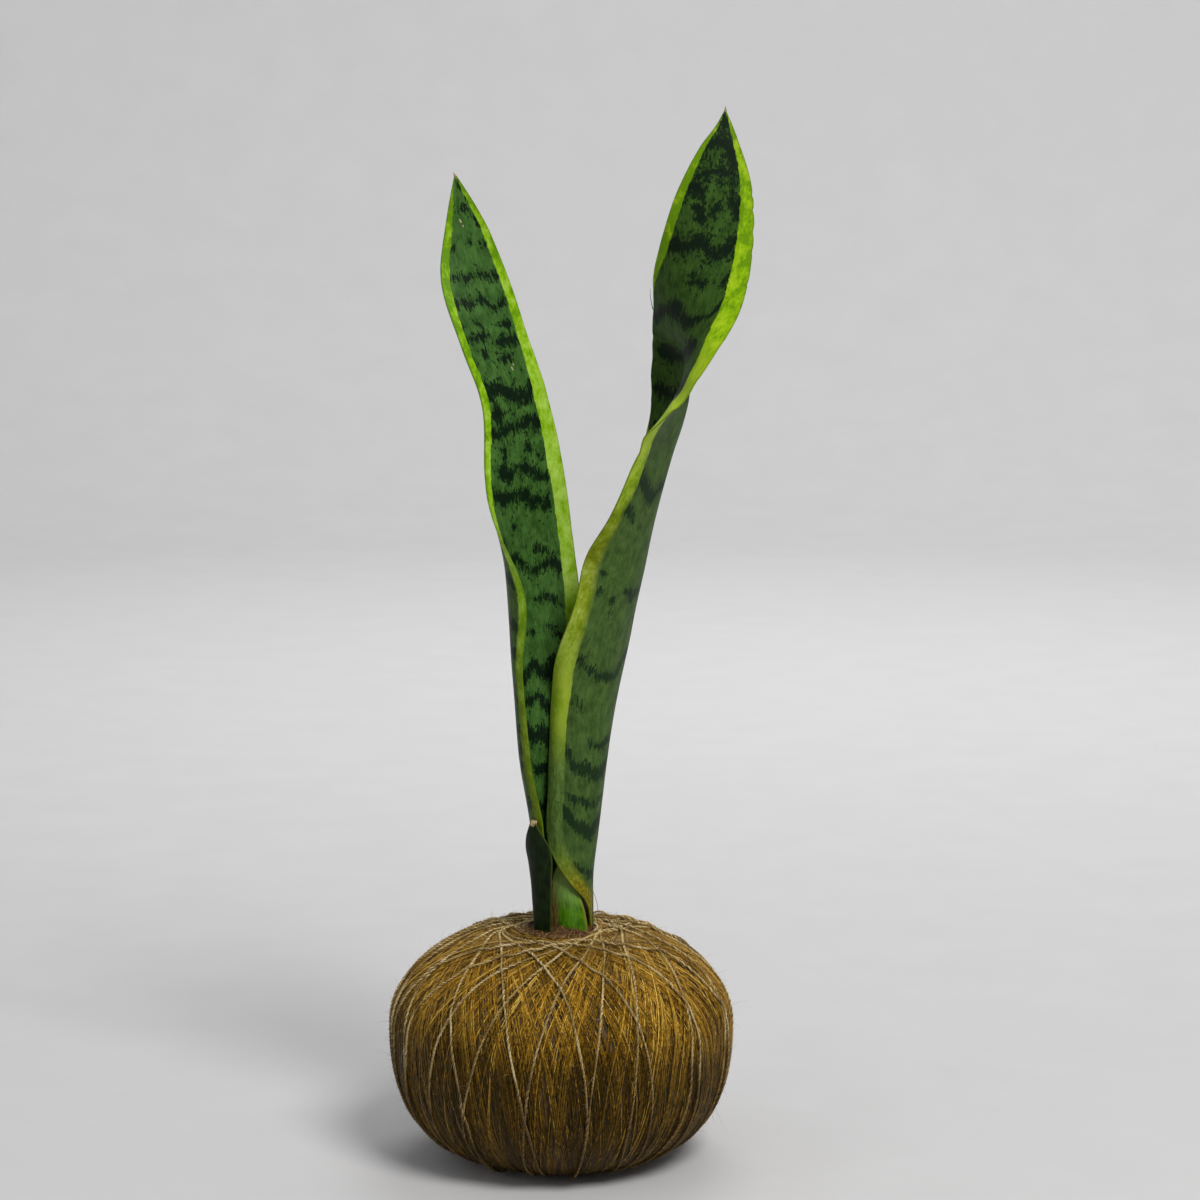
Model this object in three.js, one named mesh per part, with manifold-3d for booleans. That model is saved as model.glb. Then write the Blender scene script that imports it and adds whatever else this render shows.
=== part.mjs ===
// String-wound kokedama: a ball of soil in a thick wound coat of thread, bound
// with jute twine, and planted with a yellow-edged snake plant.
// Units: millimetres. +Z up. Origin: centre of the flat spot the ball rests on.
import * as THREE from 'three';
import { mergeVertices } from 'three/addons/utils/BufferGeometryUtils.js';
import Module from 'manifold-3d';

// ---------------------------------------------------------------- dimensions
const BALL_RADIUS = 76.2;        // widest radius of the wound ball
const EQUATOR_Z = 62.5;          // height of the widest section
const TOP_SEMI = 44.8;           // rise of the dome above the widest section
const BOTTOM_SEMI = 64.0;        // drop of the bowl below it, before the flat spot cuts it
const DIMPLE = 5.0;              // depth by which the dome is drawn in round the opening
const OPENING_RADIUS = 22.3;     // opening in the winding, round the plant
const COAT = 6.2;                // thickness of the wound coat
const GAP = 0.3;                 // clearance between touching pieces
const PLANT_Z = 101.3;           // level at which the leaves leave the rhizome
const RHIZOME_RADIUS = 18.3;
const TWINE_DIAMETER = 1.8;
const TWINE_LIFT = 0.45;         // extra clearance that its chords need over the round ball
const TOP_RING_RADIUS = 25.2;    // the twine passes start from this ring round the opening
const BOTTOM_RING_RADIUS = 43.0; // and end at this one under the ball, clear of the flat spot

// Twine passes from the top ring to the bottom ring: azimuth in degrees (0 = front, + = to the right)
// at each of the stations from the top down
const TWINE_PASSES = [
  [-119.1, -104, -91.7, -86.6, -83.8, -80.2, -78.4, -78.1, -77.6, -77.2, -76.7, -76.4, -76.2, -76],
  [-102.9, -85.7, -72.6, -69.7, -67.9, -65.5, -63.5, -63.3, -63.7, -63.4, -63.3, -63.2, -63.1, -63],
  [-88, -74.7, -59.8, -50.2, -45.6, -41.7, -37.9, -35.7, -33.9, -33.3, -34.8, -36.1, -36.6, -36.9],
  [-86.2, -62.1, -43.6, -32.3, -24.7, -19.7, -16.4, -14, -11.8, -10.1, -9.4, -9.2, -9.1, -9],
  [-81, -46.5, -23.2, -9.2, -0.4, 4.2, 6.5, 8.5, 9.2, 8.7, 8, 7.7, 7.7, 7.6],
  [-46, -12.3, 1.4, 13, 22.2, 25.9, 28.8, 31.2, 32.2, 32.7, 33.4, 33.7, 33.9, 34],
  [27.2, 9.7, -6.3, -23, -33.7, -39.2, -43.2, -46.8, -49.2, -51, -51.8, -52.4, -52.8, -53],
  [33.6, 16.1, 2, -7, -15.7, -21.9, -26.1, -29.9, -33.7, -36.2, -37, -37.3, -37.7, -37.9],
  [50.4, 32.9, 18.8, 8.8, 1.3, -3.4, -7, -9.6, -11.4, -13.1, -14.5, -15.4, -15.7, -15.9],
  [64.6, 47.1, 33, 24.5, 19.1, 15.2, 12.5, 10.7, 9.6, 8.9, 8.4, 8, 7.7, 7.5],
  [94.4, 81.8, 73.5, 66.1, 57.7, 51.5, 48.9, 48.2, 48.2, 46.8, 44.8, 43.8, 43.3, 43.1],
  [87.1, 64.3, 47.3, 39.5, 33.8, 28.9, 26.3, 25.2, 24.4, 24.1, 25.1, 27.1, 29.4, 29.9],
  [109.3, 94.2, 85.4, 81.8, 79.4, 75.6, 72.1, 70.8, 70, 69.4, 68.9, 68.5, 68.2, 68],
  [-10.1, -25, -40.8, -57.9, -66.9, -70.7, -73.2, -74.3, -74.8, -75.1, -75.5, -75.7, -75.9, -76],
  [23.7, 32.3, 44.9, 63.9, 69.5, 70.7, 73.7, 76.1, 77.1, 77.6, 77.8, 77.9, 77.9, 78],
  [5.1, 5.1, -17.8, -38.1, -49.1, -56.5, -60.8, -62.4, -63.3, -63.8, -64.3, -64.6, -64.8, -65],
  [5.1, 5.1, 26, 41.6, 48.2, 50.6, 51.9, 52.8, 53.2, 53.8, 54.3, 54.6, 54.8, 55],
  [59.2, 76.2, 89.9, 100, 107.3, 112.8, 116.8, 119.3, 120.7, 122, 123.1, 124, 124.6, 125],
  [89.2, 106.2, 119.9, 130, 137.3, 142.8, 146.8, 149.3, 150.7, 152, 153.1, 154, 154.6, 155],
  [130.2, 147.2, 160.9, 171, 178.3, 183.8, 187.8, 190.3, 191.7, 193, 194.1, 195, 195.6, 196],
  [165.2, 182.2, 195.9, 206, 213.3, 218.8, 222.8, 225.3, 226.7, 228, 229.1, 230, 230.6, 231],
  [198.2, 215.2, 228.9, 239, 246.3, 251.8, 255.8, 258.3, 259.7, 261, 262.1, 263, 263.6, 264],
  [146.8, 129.8, 116.1, 106, 98.7, 93.2, 89.2, 86.7, 85.3, 84, 82.9, 82, 81.4, 81],
  [179.8, 162.8, 149.1, 139, 131.7, 126.2, 122.2, 119.7, 118.3, 117, 115.9, 115, 114.4, 114],
  [200.8, 183.8, 170.1, 160, 152.7, 147.2, 143.2, 140.7, 139.3, 138, 136.9, 136, 135.4, 135],
  [234.8, 217.8, 204.1, 194, 186.7, 181.2, 177.2, 174.7, 173.3, 172, 170.9, 170, 169.4, 169],
  [266.8, 249.8, 236.1, 226, 218.7, 213.2, 209.2, 206.7, 205.3, 204, 202.9, 202, 201.4, 201],
  [301.8, 284.8, 271.1, 261, 253.7, 248.2, 244.2, 241.7, 240.3, 239, 237.9, 237, 236.4, 236],
];

// Leaf tables, one row for each station:
// [z, x, y of the midrib, facing angle in degrees (0 = inner face to the front, + = turned to the right),
//  developed half-width left, right, curvature of the left half, of the right half (1/mm, + = curls inwards)]
const LEAF_TALL_LEFT = [
  [100.3, -8.77, 0.65, 70.1, 8.98, 12.22, 0.1101, 0.0688],
  [123.2, -10.17, 0.27, 64.1, 12.12, 14.89, 0.1019, 0.0614],
  [148.3, -9.91, -0.24, 55.8, 16.80, 16.81, 0.0913, 0.0535],
  [184.6, -12.68, -2.07, 38.6, 20.06, 20.33, 0.0859, 0.0431],
  [220.6, -13.40, 0.36, 35.0, 24.90, 24.78, 0.0663, 0.0327],
  [251.9, -16.85, 2.06, 43.4, 28.32, 28.20, 0.0635, 0.0243],
  [278.6, -17.40, 4.13, 45.8, 27.93, 27.58, 0.0362, 0.0145],
  [309.6, -17.16, 3.16, 39.2, 22.23, 22.37, 0.0103, 0.0058],
  [340.4, -20.61, 3.35, 38.7, 18.33, 18.49, 0.0088, -0.0007],
  [371.0, -30.41, 3.84, 34.3, 18.12, 17.76, 0.0103, -0.0048],
  [396.2, -38.22, 4.18, 20.1, 14.95, 14.90, 0.0045, -0.0056],
  [415.3, -41.44, 4.41, 5.2, 8.92, 9.33, 0.0029, -0.0013],
  [429.1, -43.92, 4.68, -4.9, 4.05, 4.32, 0.0019, 0.0017],
  [437.7, -45.51, 4.86, -11.1, 0.46, 0.60, 0.0013, 0.0035],
];
const LEAF_TALL_RIGHT = [
  [100.3, 13.08, 1.51, -79.1, 13.40, 1.20, 0.0692, 0.0791],
  [116.4, 12.92, 0.95, -92.6, 16.29, 6.08, 0.0632, 0.0785],
  [127.3, 12.57, 0.39, -103.2, 18.24, 13.72, 0.0593, 0.0798],
  [139.2, 12.98, -0.40, -112.6, 20.29, 20.49, 0.0555, 0.0799],
  [171.0, 15.80, -1.74, -118.2, 24.98, 25.31, 0.0492, 0.0782],
  [207.1, 19.08, -1.35, -125.0, 27.42, 27.47, 0.0376, 0.0726],
  [238.5, 25.55, 2.15, -118.2, 28.16, 28.17, 0.0200, 0.0332],
  [265.3, 33.65, 6.49, -114.3, 28.62, 29.84, 0.0290, 0.0370],
  [287.5, 39.42, 7.30, -113.1, 28.70, 28.59, 0.0486, 0.0190],
  [305.2, 44.01, 7.33, -115.4, 29.62, 28.69, 0.0575, 0.0065],
  [318.4, 47.44, 7.12, -119.0, 30.73, 30.15, 0.0594, -0.0054],
  [329.4, 51.33, 4.98, -117.0, 31.53, 31.71, 0.0636, -0.0037],
  [339.5, 53.99, 1.98, -114.7, 31.91, 33.20, 0.0661, -0.0081],
  [349.2, 55.24, -1.33, -105.8, 31.87, 33.89, 0.0518, -0.0059],
  [360.1, 55.03, -5.30, -89.5, 31.30, 33.62, 0.0287, -0.0036],
  [373.2, 54.00, -8.22, -65.5, 29.75, 30.96, 0.0018, -0.0092],
  [388.4, 57.64, -8.96, -43.0, 27.09, 27.58, -0.0093, -0.0049],
  [410.1, 63.25, -8.30, -22.3, 22.41, 22.17, -0.0196, 0.0019],
  [431.7, 67.54, -5.54, -10.8, 16.49, 16.50, -0.0151, 0.0078],
  [448.9, 69.65, -2.82, -3.7, 9.12, 9.52, -0.0002, 0.0105],
  [459.6, 71.14, -1.10, 0.2, 3.26, 3.78, 0.0096, 0.0119],
  [465.6, 71.60, -0.13, 2.4, 0.45, 0.45, 0.0152, 0.0127],
];
const LEAF_SHORT = [
  [100.8, -8.90, -13.00, 146.0, 5.00, 4.40, 0.0850, 0.1200],
  [109.5, -9.00, -13.60, 146.0, 5.40, 4.70, 0.0850, 0.1200],
  [119.5, -9.30, -14.30, 146.0, 5.80, 5.10, 0.0800, 0.1150],
  [128.5, -9.70, -15.00, 146.0, 6.40, 5.50, 0.0750, 0.1100],
  [136.5, -10.40, -15.70, 145.0, 7.40, 6.40, 0.0700, 0.1000],
  [143.5, -11.40, -16.30, 143.0, 7.50, 6.60, 0.0700, 0.0800],
  [149.0, -12.00, -16.40, 140.0, 5.40, 4.80, 0.0700, 0.0700],
  [153.0, -12.20, -16.20, 138.0, 3.00, 2.60, 0.0700, 0.0700],
  [156.1, -12.20, -16.00, 136.0, 1.40, 1.20, 0.0700, 0.0700],
];
const LEAF_SHEATH = [
  [100.8, 5.00, -10.80, 180.0, 7.60, 8.60, 0.1000, 0.0900],
  [107.5, 5.00, -9.80, 180.0, 7.40, 9.30, 0.1000, 0.0900],
  [113.5, 4.80, -8.00, 180.0, 6.20, 9.60, 0.1200, 0.0900],
  [119.5, 4.00, -6.20, 180.0, 4.80, 8.90, 0.1400, 0.0900],
  [125.5, 3.20, -5.10, 180.0, 4.20, 7.60, 0.1400, 0.1000],
  [130.5, 2.20, -4.60, 180.0, 3.40, 5.60, 0.1400, 0.1000],
  [133.6, 1.40, -4.40, 180.0, 2.00, 3.20, 0.1400, 0.1000],
];

// ---------------------------------------------------------------- helpers
// Cubic through the table's stations, with three-point slopes.
function curveThrough(xs, fs) {
  const n = xs.length, m = new Array(n);
  for (let i = 1; i < n - 1; i++) {
    const a = xs[i] - xs[i - 1], b = xs[i + 1] - xs[i];
    m[i] = (a * a * fs[i + 1] + (b * b - a * a) * fs[i] - b * b * fs[i - 1]) / (a * b * (a + b));
  }
  m[0] = (fs[1] - fs[0]) / (xs[1] - xs[0]);
  m[n - 1] = (fs[n - 1] - fs[n - 2]) / (xs[n - 1] - xs[n - 2]);
  return (q) => {
    let i = 0;
    while (i < n - 2 && q >= xs[i + 1]) i++;
    const h = xs[i + 1] - xs[i], t = (q - xs[i]) / h, t2 = t * t, t3 = t2 * t;
    return fs[i] * (2 * t3 - 3 * t2 + 1) + h * m[i] * (t3 - 2 * t2 + t)
      + fs[i + 1] * (3 * t2 - 2 * t3) + h * m[i + 1] * (t3 - t2);
  };
}

// Closed solid from rings of equal length, capped at both ends.
function loft(rings) {
  const n = rings[0].length, pos = [], idx = [];
  for (const ring of rings) for (const p of ring) pos.push(p.x, p.y, p.z);
  for (let i = 0; i < rings.length - 1; i++) {
    for (let j = 0; j < n; j++) {
      const a = i * n + j, b = i * n + ((j + 1) % n), c = a + n, d = b + n;
      idx.push(a, b, d, a, d, c);
    }
  }
  // caps: the ring is a flat outline of two facing rows, so it is zipped from one row to the other
  const last = (rings.length - 1) * n;
  for (let j = 0; j < n / 2 - 1; j++) {
    const a = j, b = j + 1, c = n - 2 - j, d = n - 1 - j;
    idx.push(a, d, c, a, c, b);
    idx.push(last + a, last + c, last + d, last + a, last + b, last + c);
  }
  const g = new THREE.BufferGeometry();
  g.setAttribute('position', new THREE.Float32BufferAttribute(pos, 3));
  g.setIndex(idx);
  g.computeVertexNormals();
  return g;
}

// A leaf: a curved blade of tapering thickness along the table's midrib.
function leafGeometry(table, { baseZ, stations, across, baseThickness, tipThickness }) {
  const zs = table.map((r) => r[0]);
  const f = [1, 2, 3, 4, 5, 6, 7].map((k) => curveThrough(zs, table.map((r) => r[k])));
  const z0 = baseZ, z1 = zs[zs.length - 1];
  const rings = [];
  const at = (z) => new THREE.Vector3(f[0](z), f[1](z), z);
  for (let i = 0; i < stations; i++) {
    const s = i / (stations - 1);
    const z = z0 + (z1 - z0) * s;
    const e = 0.5;
    const T = at(Math.min(z + e, z1)).sub(at(Math.max(z - e, z0))).normalize();
    const n0 = new THREE.Vector3(0, -1, 0);
    n0.addScaledVector(T, -n0.dot(T)).normalize();
    const e0 = new THREE.Vector3().crossVectors(T, n0);
    const phi = THREE.MathUtils.degToRad(f[2](z));
    const n = n0.clone().multiplyScalar(Math.cos(phi)).addScaledVector(e0, Math.sin(phi));
    const u = e0.clone().multiplyScalar(Math.cos(phi)).addScaledVector(n0, -Math.sin(phi));
    const wl = Math.max(f[3](z), 0.45), wr = Math.max(f[4](z), 0.45);
    const thick = (baseThickness + (tipThickness - baseThickness) * s) * Math.min(1, 0.25 + (wl + wr) / 16);
    const mid = at(z);
    const inner = [], outer = [];
    for (let j = 0; j < across; j++) {
      const t = -1 + (2 * j) / (across - 1);
      const w = t < 0 ? t * wl : t * wr;
      let k = t < 0 ? f[5](z) : f[6](z);
      if (Math.abs(k) < 1e-4) k = 1e-4;
      const a = Math.abs(w), sg = Math.sign(w);
      const side = (Math.sin(k * a) / k) * sg, rise = (1 - Math.cos(k * a)) / k;
      const p = mid.clone().addScaledVector(u, side).addScaledVector(n, rise);
      const nn = n.clone().multiplyScalar(Math.cos(k * a)).addScaledVector(u, -Math.sin(k * a) * sg);
      const half = (thick * Math.sqrt(Math.max(1 - Math.abs(t) ** 3, 0.08))) / 2;
      inner.push(p.clone().addScaledVector(nn, half));
      outer.push(p.clone().addScaledVector(nn, -half));
    }
    const ring = [...inner, ...outer.reverse()];
    if (i === 0) for (const p of ring) p.z = z0;   // cut flat where it meets the rhizome
    rings.push(ring);
  }
  return loft(rings);
}

function lathe(profile, segments) {
  const g = new THREE.LatheGeometry(profile.map(([r, z]) => new THREE.Vector2(r, z)), segments);
  g.rotateX(Math.PI / 2);          // the lathe turns about Y; the ball's axis is Z
  return g;
}

// ---------------------------------------------------------------- the ball's section
// radius of the ball's outside at height z, for a ball offset inwards by d
const topZ = (r, d = 0) => EQUATOR_Z + (TOP_SEMI - d) * Math.pow(Math.max(0, 1 - Math.pow(r / (BALL_RADIUS - d), 2.04)), 1 / 1.99)
  - DIMPLE * Math.max(0, 1 - (r - 20) / 20) ** 2;
const bottomZ = (r, d = 0) => EQUATOR_Z - (BOTTOM_SEMI - d) * Math.pow(Math.max(0, 1 - Math.pow(r / (BALL_RADIUS - d), 2.94)), 1 / 2.68);

// half section from the flat spot up to the given radius on the dome, as [r, z]
function section(d, flatZ, endRadius, steps) {
  const R = BALL_RADIUS - d;
  let rFlat = 10;
  while (bottomZ(rFlat, d) < flatZ) rFlat += 0.05;
  const pts = [[0, flatZ], [rFlat, flatZ]];
  const a0 = Math.asin(rFlat / R), a1 = Math.PI / 2;
  for (let i = 1; i <= steps; i++) {
    const r = R * Math.sin(a0 + ((a1 - a0) * i) / steps);
    pts.push([r, bottomZ(r, d)]);
  }
  const b1 = Math.asin(endRadius / R);
  for (let i = 1; i <= steps; i++) {
    const r = R * Math.sin(Math.PI / 2 + ((Math.PI / 2 - b1) * i) / steps);
    pts.push([r, topZ(r, d)]);
  }
  return pts;
}

// ---------------------------------------------------------------- pieces
const group = new THREE.Group();
function add(name, geometry, color, roughness) {
  const mesh = new THREE.Mesh(geometry, new THREE.MeshStandardMaterial({ color, roughness, metalness: 0, flatShading: false }));
  mesh.name = name;
  group.add(mesh);
  return mesh;
}

// wound coat: open at the top, closed below
{
  const outside = section(0, 0, OPENING_RADIUS + 1.6, 8);
  const inside = section(COAT, COAT, OPENING_RADIUS, 6).reverse();
  add('thread_winding', lathe([
    ...outside,
    [OPENING_RADIUS + 0.5, topZ(OPENING_RADIUS) + 0.1],
    [OPENING_RADIUS, topZ(OPENING_RADIUS) - 0.9],
    ...inside,
  ], 40), 0x96702a, 0.75);
}

// soil ball with the pocket that the rhizome sits in
{
  const d = COAT + GAP, neck = OPENING_RADIUS - GAP;
  const wall = RHIZOME_RADIUS + GAP;
  add('root_ball', lathe([
    ...section(d, d, neck, 6),
    [neck, 101.6], [neck - 0.9, 102.9], [wall + 0.7, 103.7], [wall, 103.2],
    [wall, 90], [13.2, 82], [0, 82],
  ], 40), 0x5c3d26, 1.0);
}

// rhizome: the stout underground stem that all the leaves grow from
add('rhizome', lathe([
  [0, 82.3], [12.9, 82.3], [RHIZOME_RADIUS, 90.2], [RHIZOME_RADIUS, PLANT_Z - GAP - 1.4],
  [RHIZOME_RADIUS - 1.4, PLANT_Z - GAP], [0, PLANT_Z - GAP],
], 32), 0xb08a55, 0.8);

add('leaf_tall_left', leafGeometry(LEAF_TALL_LEFT, { baseZ: PLANT_Z, stations: 30, across: 9, baseThickness: 3.4, tipThickness: 1.7 }), 0x3c6437, 0.45);
add('leaf_tall_right', leafGeometry(LEAF_TALL_RIGHT, { baseZ: PLANT_Z, stations: 40, across: 9, baseThickness: 3.4, tipThickness: 1.7 }), 0x4b6446, 0.45);
add('leaf_short', leafGeometry(LEAF_SHORT, { baseZ: PLANT_Z, stations: 14, across: 7, baseThickness: 2.2, tipThickness: 1.3 }), 0x0f230f, 0.5);
add('leaf_sheath', leafGeometry(LEAF_SHEATH, { baseZ: PLANT_Z, stations: 9, across: 7, baseThickness: 2.0, tipThickness: 1.2 }), 0x326e0a, 0.45);

// ---------------------------------------------------------------- twine
const wasm = await Module();
wasm.setup();

// meridian of the surface that the twine's centre line follows, by arc length
const lift = TWINE_DIAMETER / 2 + GAP + TWINE_LIFT;
const meridian = (() => {
  const raw = [];
  const N = 400;
  for (let i = 0; i <= N; i++) {                     // dome, from the top down
    const r = BALL_RADIUS * Math.sin(((i / N) * Math.PI) / 2);
    raw.push([r, topZ(r)]);
  }
  for (let i = N - 1; i >= 0; i--) {
    const r = BALL_RADIUS * Math.sin(((i / N) * Math.PI) / 2);
    raw.push([r, bottomZ(r)]);
  }
  const out = [];
  let m = 0;
  for (let i = 1; i < raw.length - 1; i++) {
    const dr = raw[i + 1][0] - raw[i - 1][0], dz = raw[i + 1][1] - raw[i - 1][1], L = Math.hypot(dr, dz);
    const nr = -dz / L, nz = dr / L;
    const p = [raw[i][0] + nr * lift, raw[i][1] + nz * lift, nr, nz];
    if (out.length) m += Math.hypot(p[0] - out[out.length - 1].r, p[1] - out[out.length - 1].z);
    out.push({ r: p[0], z: p[1], nr: p[2], nz: p[3], m });
  }
  return out;
})();
const onMeridian = (m) => {
  let lo = 0, hi = meridian.length - 1;
  while (hi - lo > 1) { const k = (lo + hi) >> 1; if (meridian[k].m <= m) lo = k; else hi = k; }
  const a = meridian[lo], b = meridian[hi], t = (m - a.m) / (b.m - a.m);
  const mix = (u, v) => u + (v - u) * t;
  return { r: mix(a.r, b.r), z: mix(a.z, b.z), nr: mix(a.nr, b.nr), nz: mix(a.nz, b.nz) };
};
const mTop = meridian.find((p) => p.r >= TOP_RING_RADIUS && p.z > EQUATOR_Z).m;
const mBottom = [...meridian].reverse().find((p) => p.r >= BOTTOM_RING_RADIUS && p.z < EQUATOR_Z).m;

// tube with a three-sided section, one flat side towards the ball; wide > 1 makes it a band
function tubeSolid(points, normals, closed, wide = 1) {
  const n = points.length, R = TWINE_DIAMETER / 2, pos = [], idx = [];
  const section = [[1.15 * R, 0], [-0.75 * R, 1.1 * R * wide], [-0.75 * R, -1.1 * R * wide]];
  for (let i = 0; i < n; i++) {
    const a = points[closed ? (i + n - 1) % n : Math.max(i - 1, 0)], b = points[closed ? (i + 1) % n : Math.min(i + 1, n - 1)];
    const T = b.clone().sub(a).normalize();
    const N = normals[i].clone().addScaledVector(T, -normals[i].dot(T)).normalize();
    const B = new THREE.Vector3().crossVectors(T, N);
    for (const [u, v] of section) {
      const p = points[i].clone().addScaledVector(N, u).addScaledVector(B, v);
      pos.push(p.x, p.y, p.z);
    }
  }
  const rings = closed ? n : n - 1;
  for (let i = 0; i < rings; i++) for (let k = 0; k < 3; k++) {
    const a = i * 3 + k, b = i * 3 + ((k + 1) % 3), c = ((i + 1) % n) * 3 + k, d = ((i + 1) % n) * 3 + ((k + 1) % 3);
    idx.push(a, b, d, a, d, c);
  }
  if (!closed) {
    const l = (n - 1) * 3;
    idx.push(0, 2, 1, l, l + 1, l + 2);
  }
  return new wasm.Manifold(new wasm.Mesh({ numProp: 3, vertProperties: new Float32Array(pos), triVerts: new Uint32Array(idx) }));
}
const place = (r, z, nr, nz, azimuth) => {
  const s = Math.sin(azimuth), c = Math.cos(azimuth);
  return [new THREE.Vector3(r * s, -r * c, z), new THREE.Vector3(nr * s, -nr * c, nz)];
};
// the turns that lie side by side round the opening, and round the underside
function ring(m, count, phase, wide) {
  const q = onMeridian(m), P = [], N = [];
  for (let i = 0; i < count; i++) {
    const [p, n] = place(q.r, q.z, q.nr, q.nz, phase + (2 * Math.PI * i) / count);
    P.push(p); N.push(n);
  }
  return tubeSolid(P, N, true, wide);
}
let twine = ring(mTop, 24, 0, 2).add(ring(mBottom, 26, 0.05, 2));
let twineLength = 2 * Math.PI * (TOP_RING_RADIUS + BOTTOM_RING_RADIUS);
for (const azimuths of TWINE_PASSES) {
  const P = [], N = [], last = azimuths.length - 1;
  azimuths.forEach((azimuth, i) => {
    const q = onMeridian(mTop + ((mBottom - mTop) * (1 - Math.cos(Math.PI * (0.05 + (0.9 * i) / last)))) / 2);
    const [p, n] = place(q.r, q.z, q.nr, q.nz, THREE.MathUtils.degToRad(azimuth));
    P.push(p); N.push(n);
    if (i) twineLength += p.distanceTo(P[i - 1]);
  });
  // both ends run into the rings
  twine = twine.add(tubeSolid(P, N, false));
}
{
  const m = twine.getMesh();
  let g = new THREE.BufferGeometry();
  g.setAttribute('position', new THREE.Float32BufferAttribute(Float32Array.from(m.vertProperties), 3));
  g.setIndex(Array.from(m.triVerts));
  g = mergeVertices(g, 1e-4);
  g.computeVertexNormals();
  add('twine_binding', g, 0xaa8c5f, 0.9);
}

export default group;
export { twineLength };
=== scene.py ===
"""Visual model of a string-wound kokedama with a snake plant. Lengths are in millimetres until a mesh is made."""
import math

import bpy
import numpy as np
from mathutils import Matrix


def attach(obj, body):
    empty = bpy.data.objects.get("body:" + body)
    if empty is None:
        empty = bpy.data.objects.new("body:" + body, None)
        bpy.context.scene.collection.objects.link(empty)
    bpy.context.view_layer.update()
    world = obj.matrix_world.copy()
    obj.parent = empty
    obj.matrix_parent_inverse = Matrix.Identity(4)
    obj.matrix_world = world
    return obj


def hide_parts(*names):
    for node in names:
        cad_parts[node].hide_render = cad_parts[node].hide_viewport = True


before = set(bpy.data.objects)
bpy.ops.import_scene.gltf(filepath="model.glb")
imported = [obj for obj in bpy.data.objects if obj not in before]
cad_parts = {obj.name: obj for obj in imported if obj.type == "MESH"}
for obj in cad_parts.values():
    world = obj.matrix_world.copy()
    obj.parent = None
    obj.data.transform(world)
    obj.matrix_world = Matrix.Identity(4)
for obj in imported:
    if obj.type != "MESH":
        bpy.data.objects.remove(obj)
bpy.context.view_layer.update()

PI = math.pi

# ------------------------------------------------------------------ camera
cam_data = bpy.data.cameras.new("camera")
cam_data.lens = 99.0
cam_data.sensor_width = 36.0
cam_data.clip_start, cam_data.clip_end = 0.05, 50.0
cam = bpy.data.objects.new("camera", cam_data)
bpy.context.scene.collection.objects.link(cam)
cam.location = (0.01746, -1.44292, 0.45731)
cam.rotation_euler = (math.radians(81.9), 0.0, 0.0)
bpy.context.scene.camera = cam
bpy.context.scene.view_settings.view_transform = "Standard"


# ------------------------------------------------------------------ numbers
def herm(xs, fs, q):
    """Cubic through the stations, with three-point slopes."""
    x, f, q = np.asarray(xs, float), np.asarray(fs, float), np.asarray(q, float)
    m = np.empty_like(f)
    a, b = x[1:-1] - x[:-2], x[2:] - x[1:-1]
    m[1:-1] = (a * a * f[2:] + (b * b - a * a) * f[1:-1] - b * b * f[:-2]) / (a * b * (a + b))
    m[0] = (f[1] - f[0]) / (x[1] - x[0])
    m[-1] = (f[-1] - f[-2]) / (x[-1] - x[-2])
    i = np.clip(np.searchsorted(x, q, side="right") - 1, 0, len(x) - 2)
    h = x[i + 1] - x[i]
    t = (q - x[i]) / h
    return (
        f[i] * (2 * t**3 - 3 * t * t + 1)
        + h * m[i] * (t**3 - 2 * t * t + t)
        + f[i + 1] * (3 * t * t - 2 * t**3)
        + h * m[i + 1] * (t**3 - t * t)
    )


def smooth(x, lo, hi):
    t = np.clip((np.asarray(x, float) - lo) / (hi - lo), 0, 1)
    return t * t * (3 - 2 * t)


_tables = {}


def noise(seed, x, y=0.0, z=0.0):
    """Smooth value noise from 0 to 1 with a period of 32 cells."""
    if seed not in _tables:
        _tables[seed] = np.random.default_rng(seed).random((32, 32, 32))
    t = _tables[seed]
    x, y, z = np.broadcast_arrays(np.asarray(x, float), np.asarray(y, float), np.asarray(z, float))
    xi, yi, zi = np.floor(x).astype(int), np.floor(y).astype(int), np.floor(z).astype(int)
    fx, fy, fz = x - xi, y - yi, z - zi
    fx, fy, fz = (f * f * (3 - 2 * f) for f in (fx, fy, fz))
    out = 0.0
    for a in (0, 1):
        for b in (0, 1):
            for c in (0, 1):
                w = (fx if a else 1 - fx) * (fy if b else 1 - fy) * (fz if c else 1 - fz)
                out = out + w * t[(xi + a) % 32, (yi + b) % 32, (zi + c) % 32]
    return out


def unit(v):
    return v / np.maximum(np.linalg.norm(v, axis=-1, keepdims=True), 1e-12)


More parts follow.
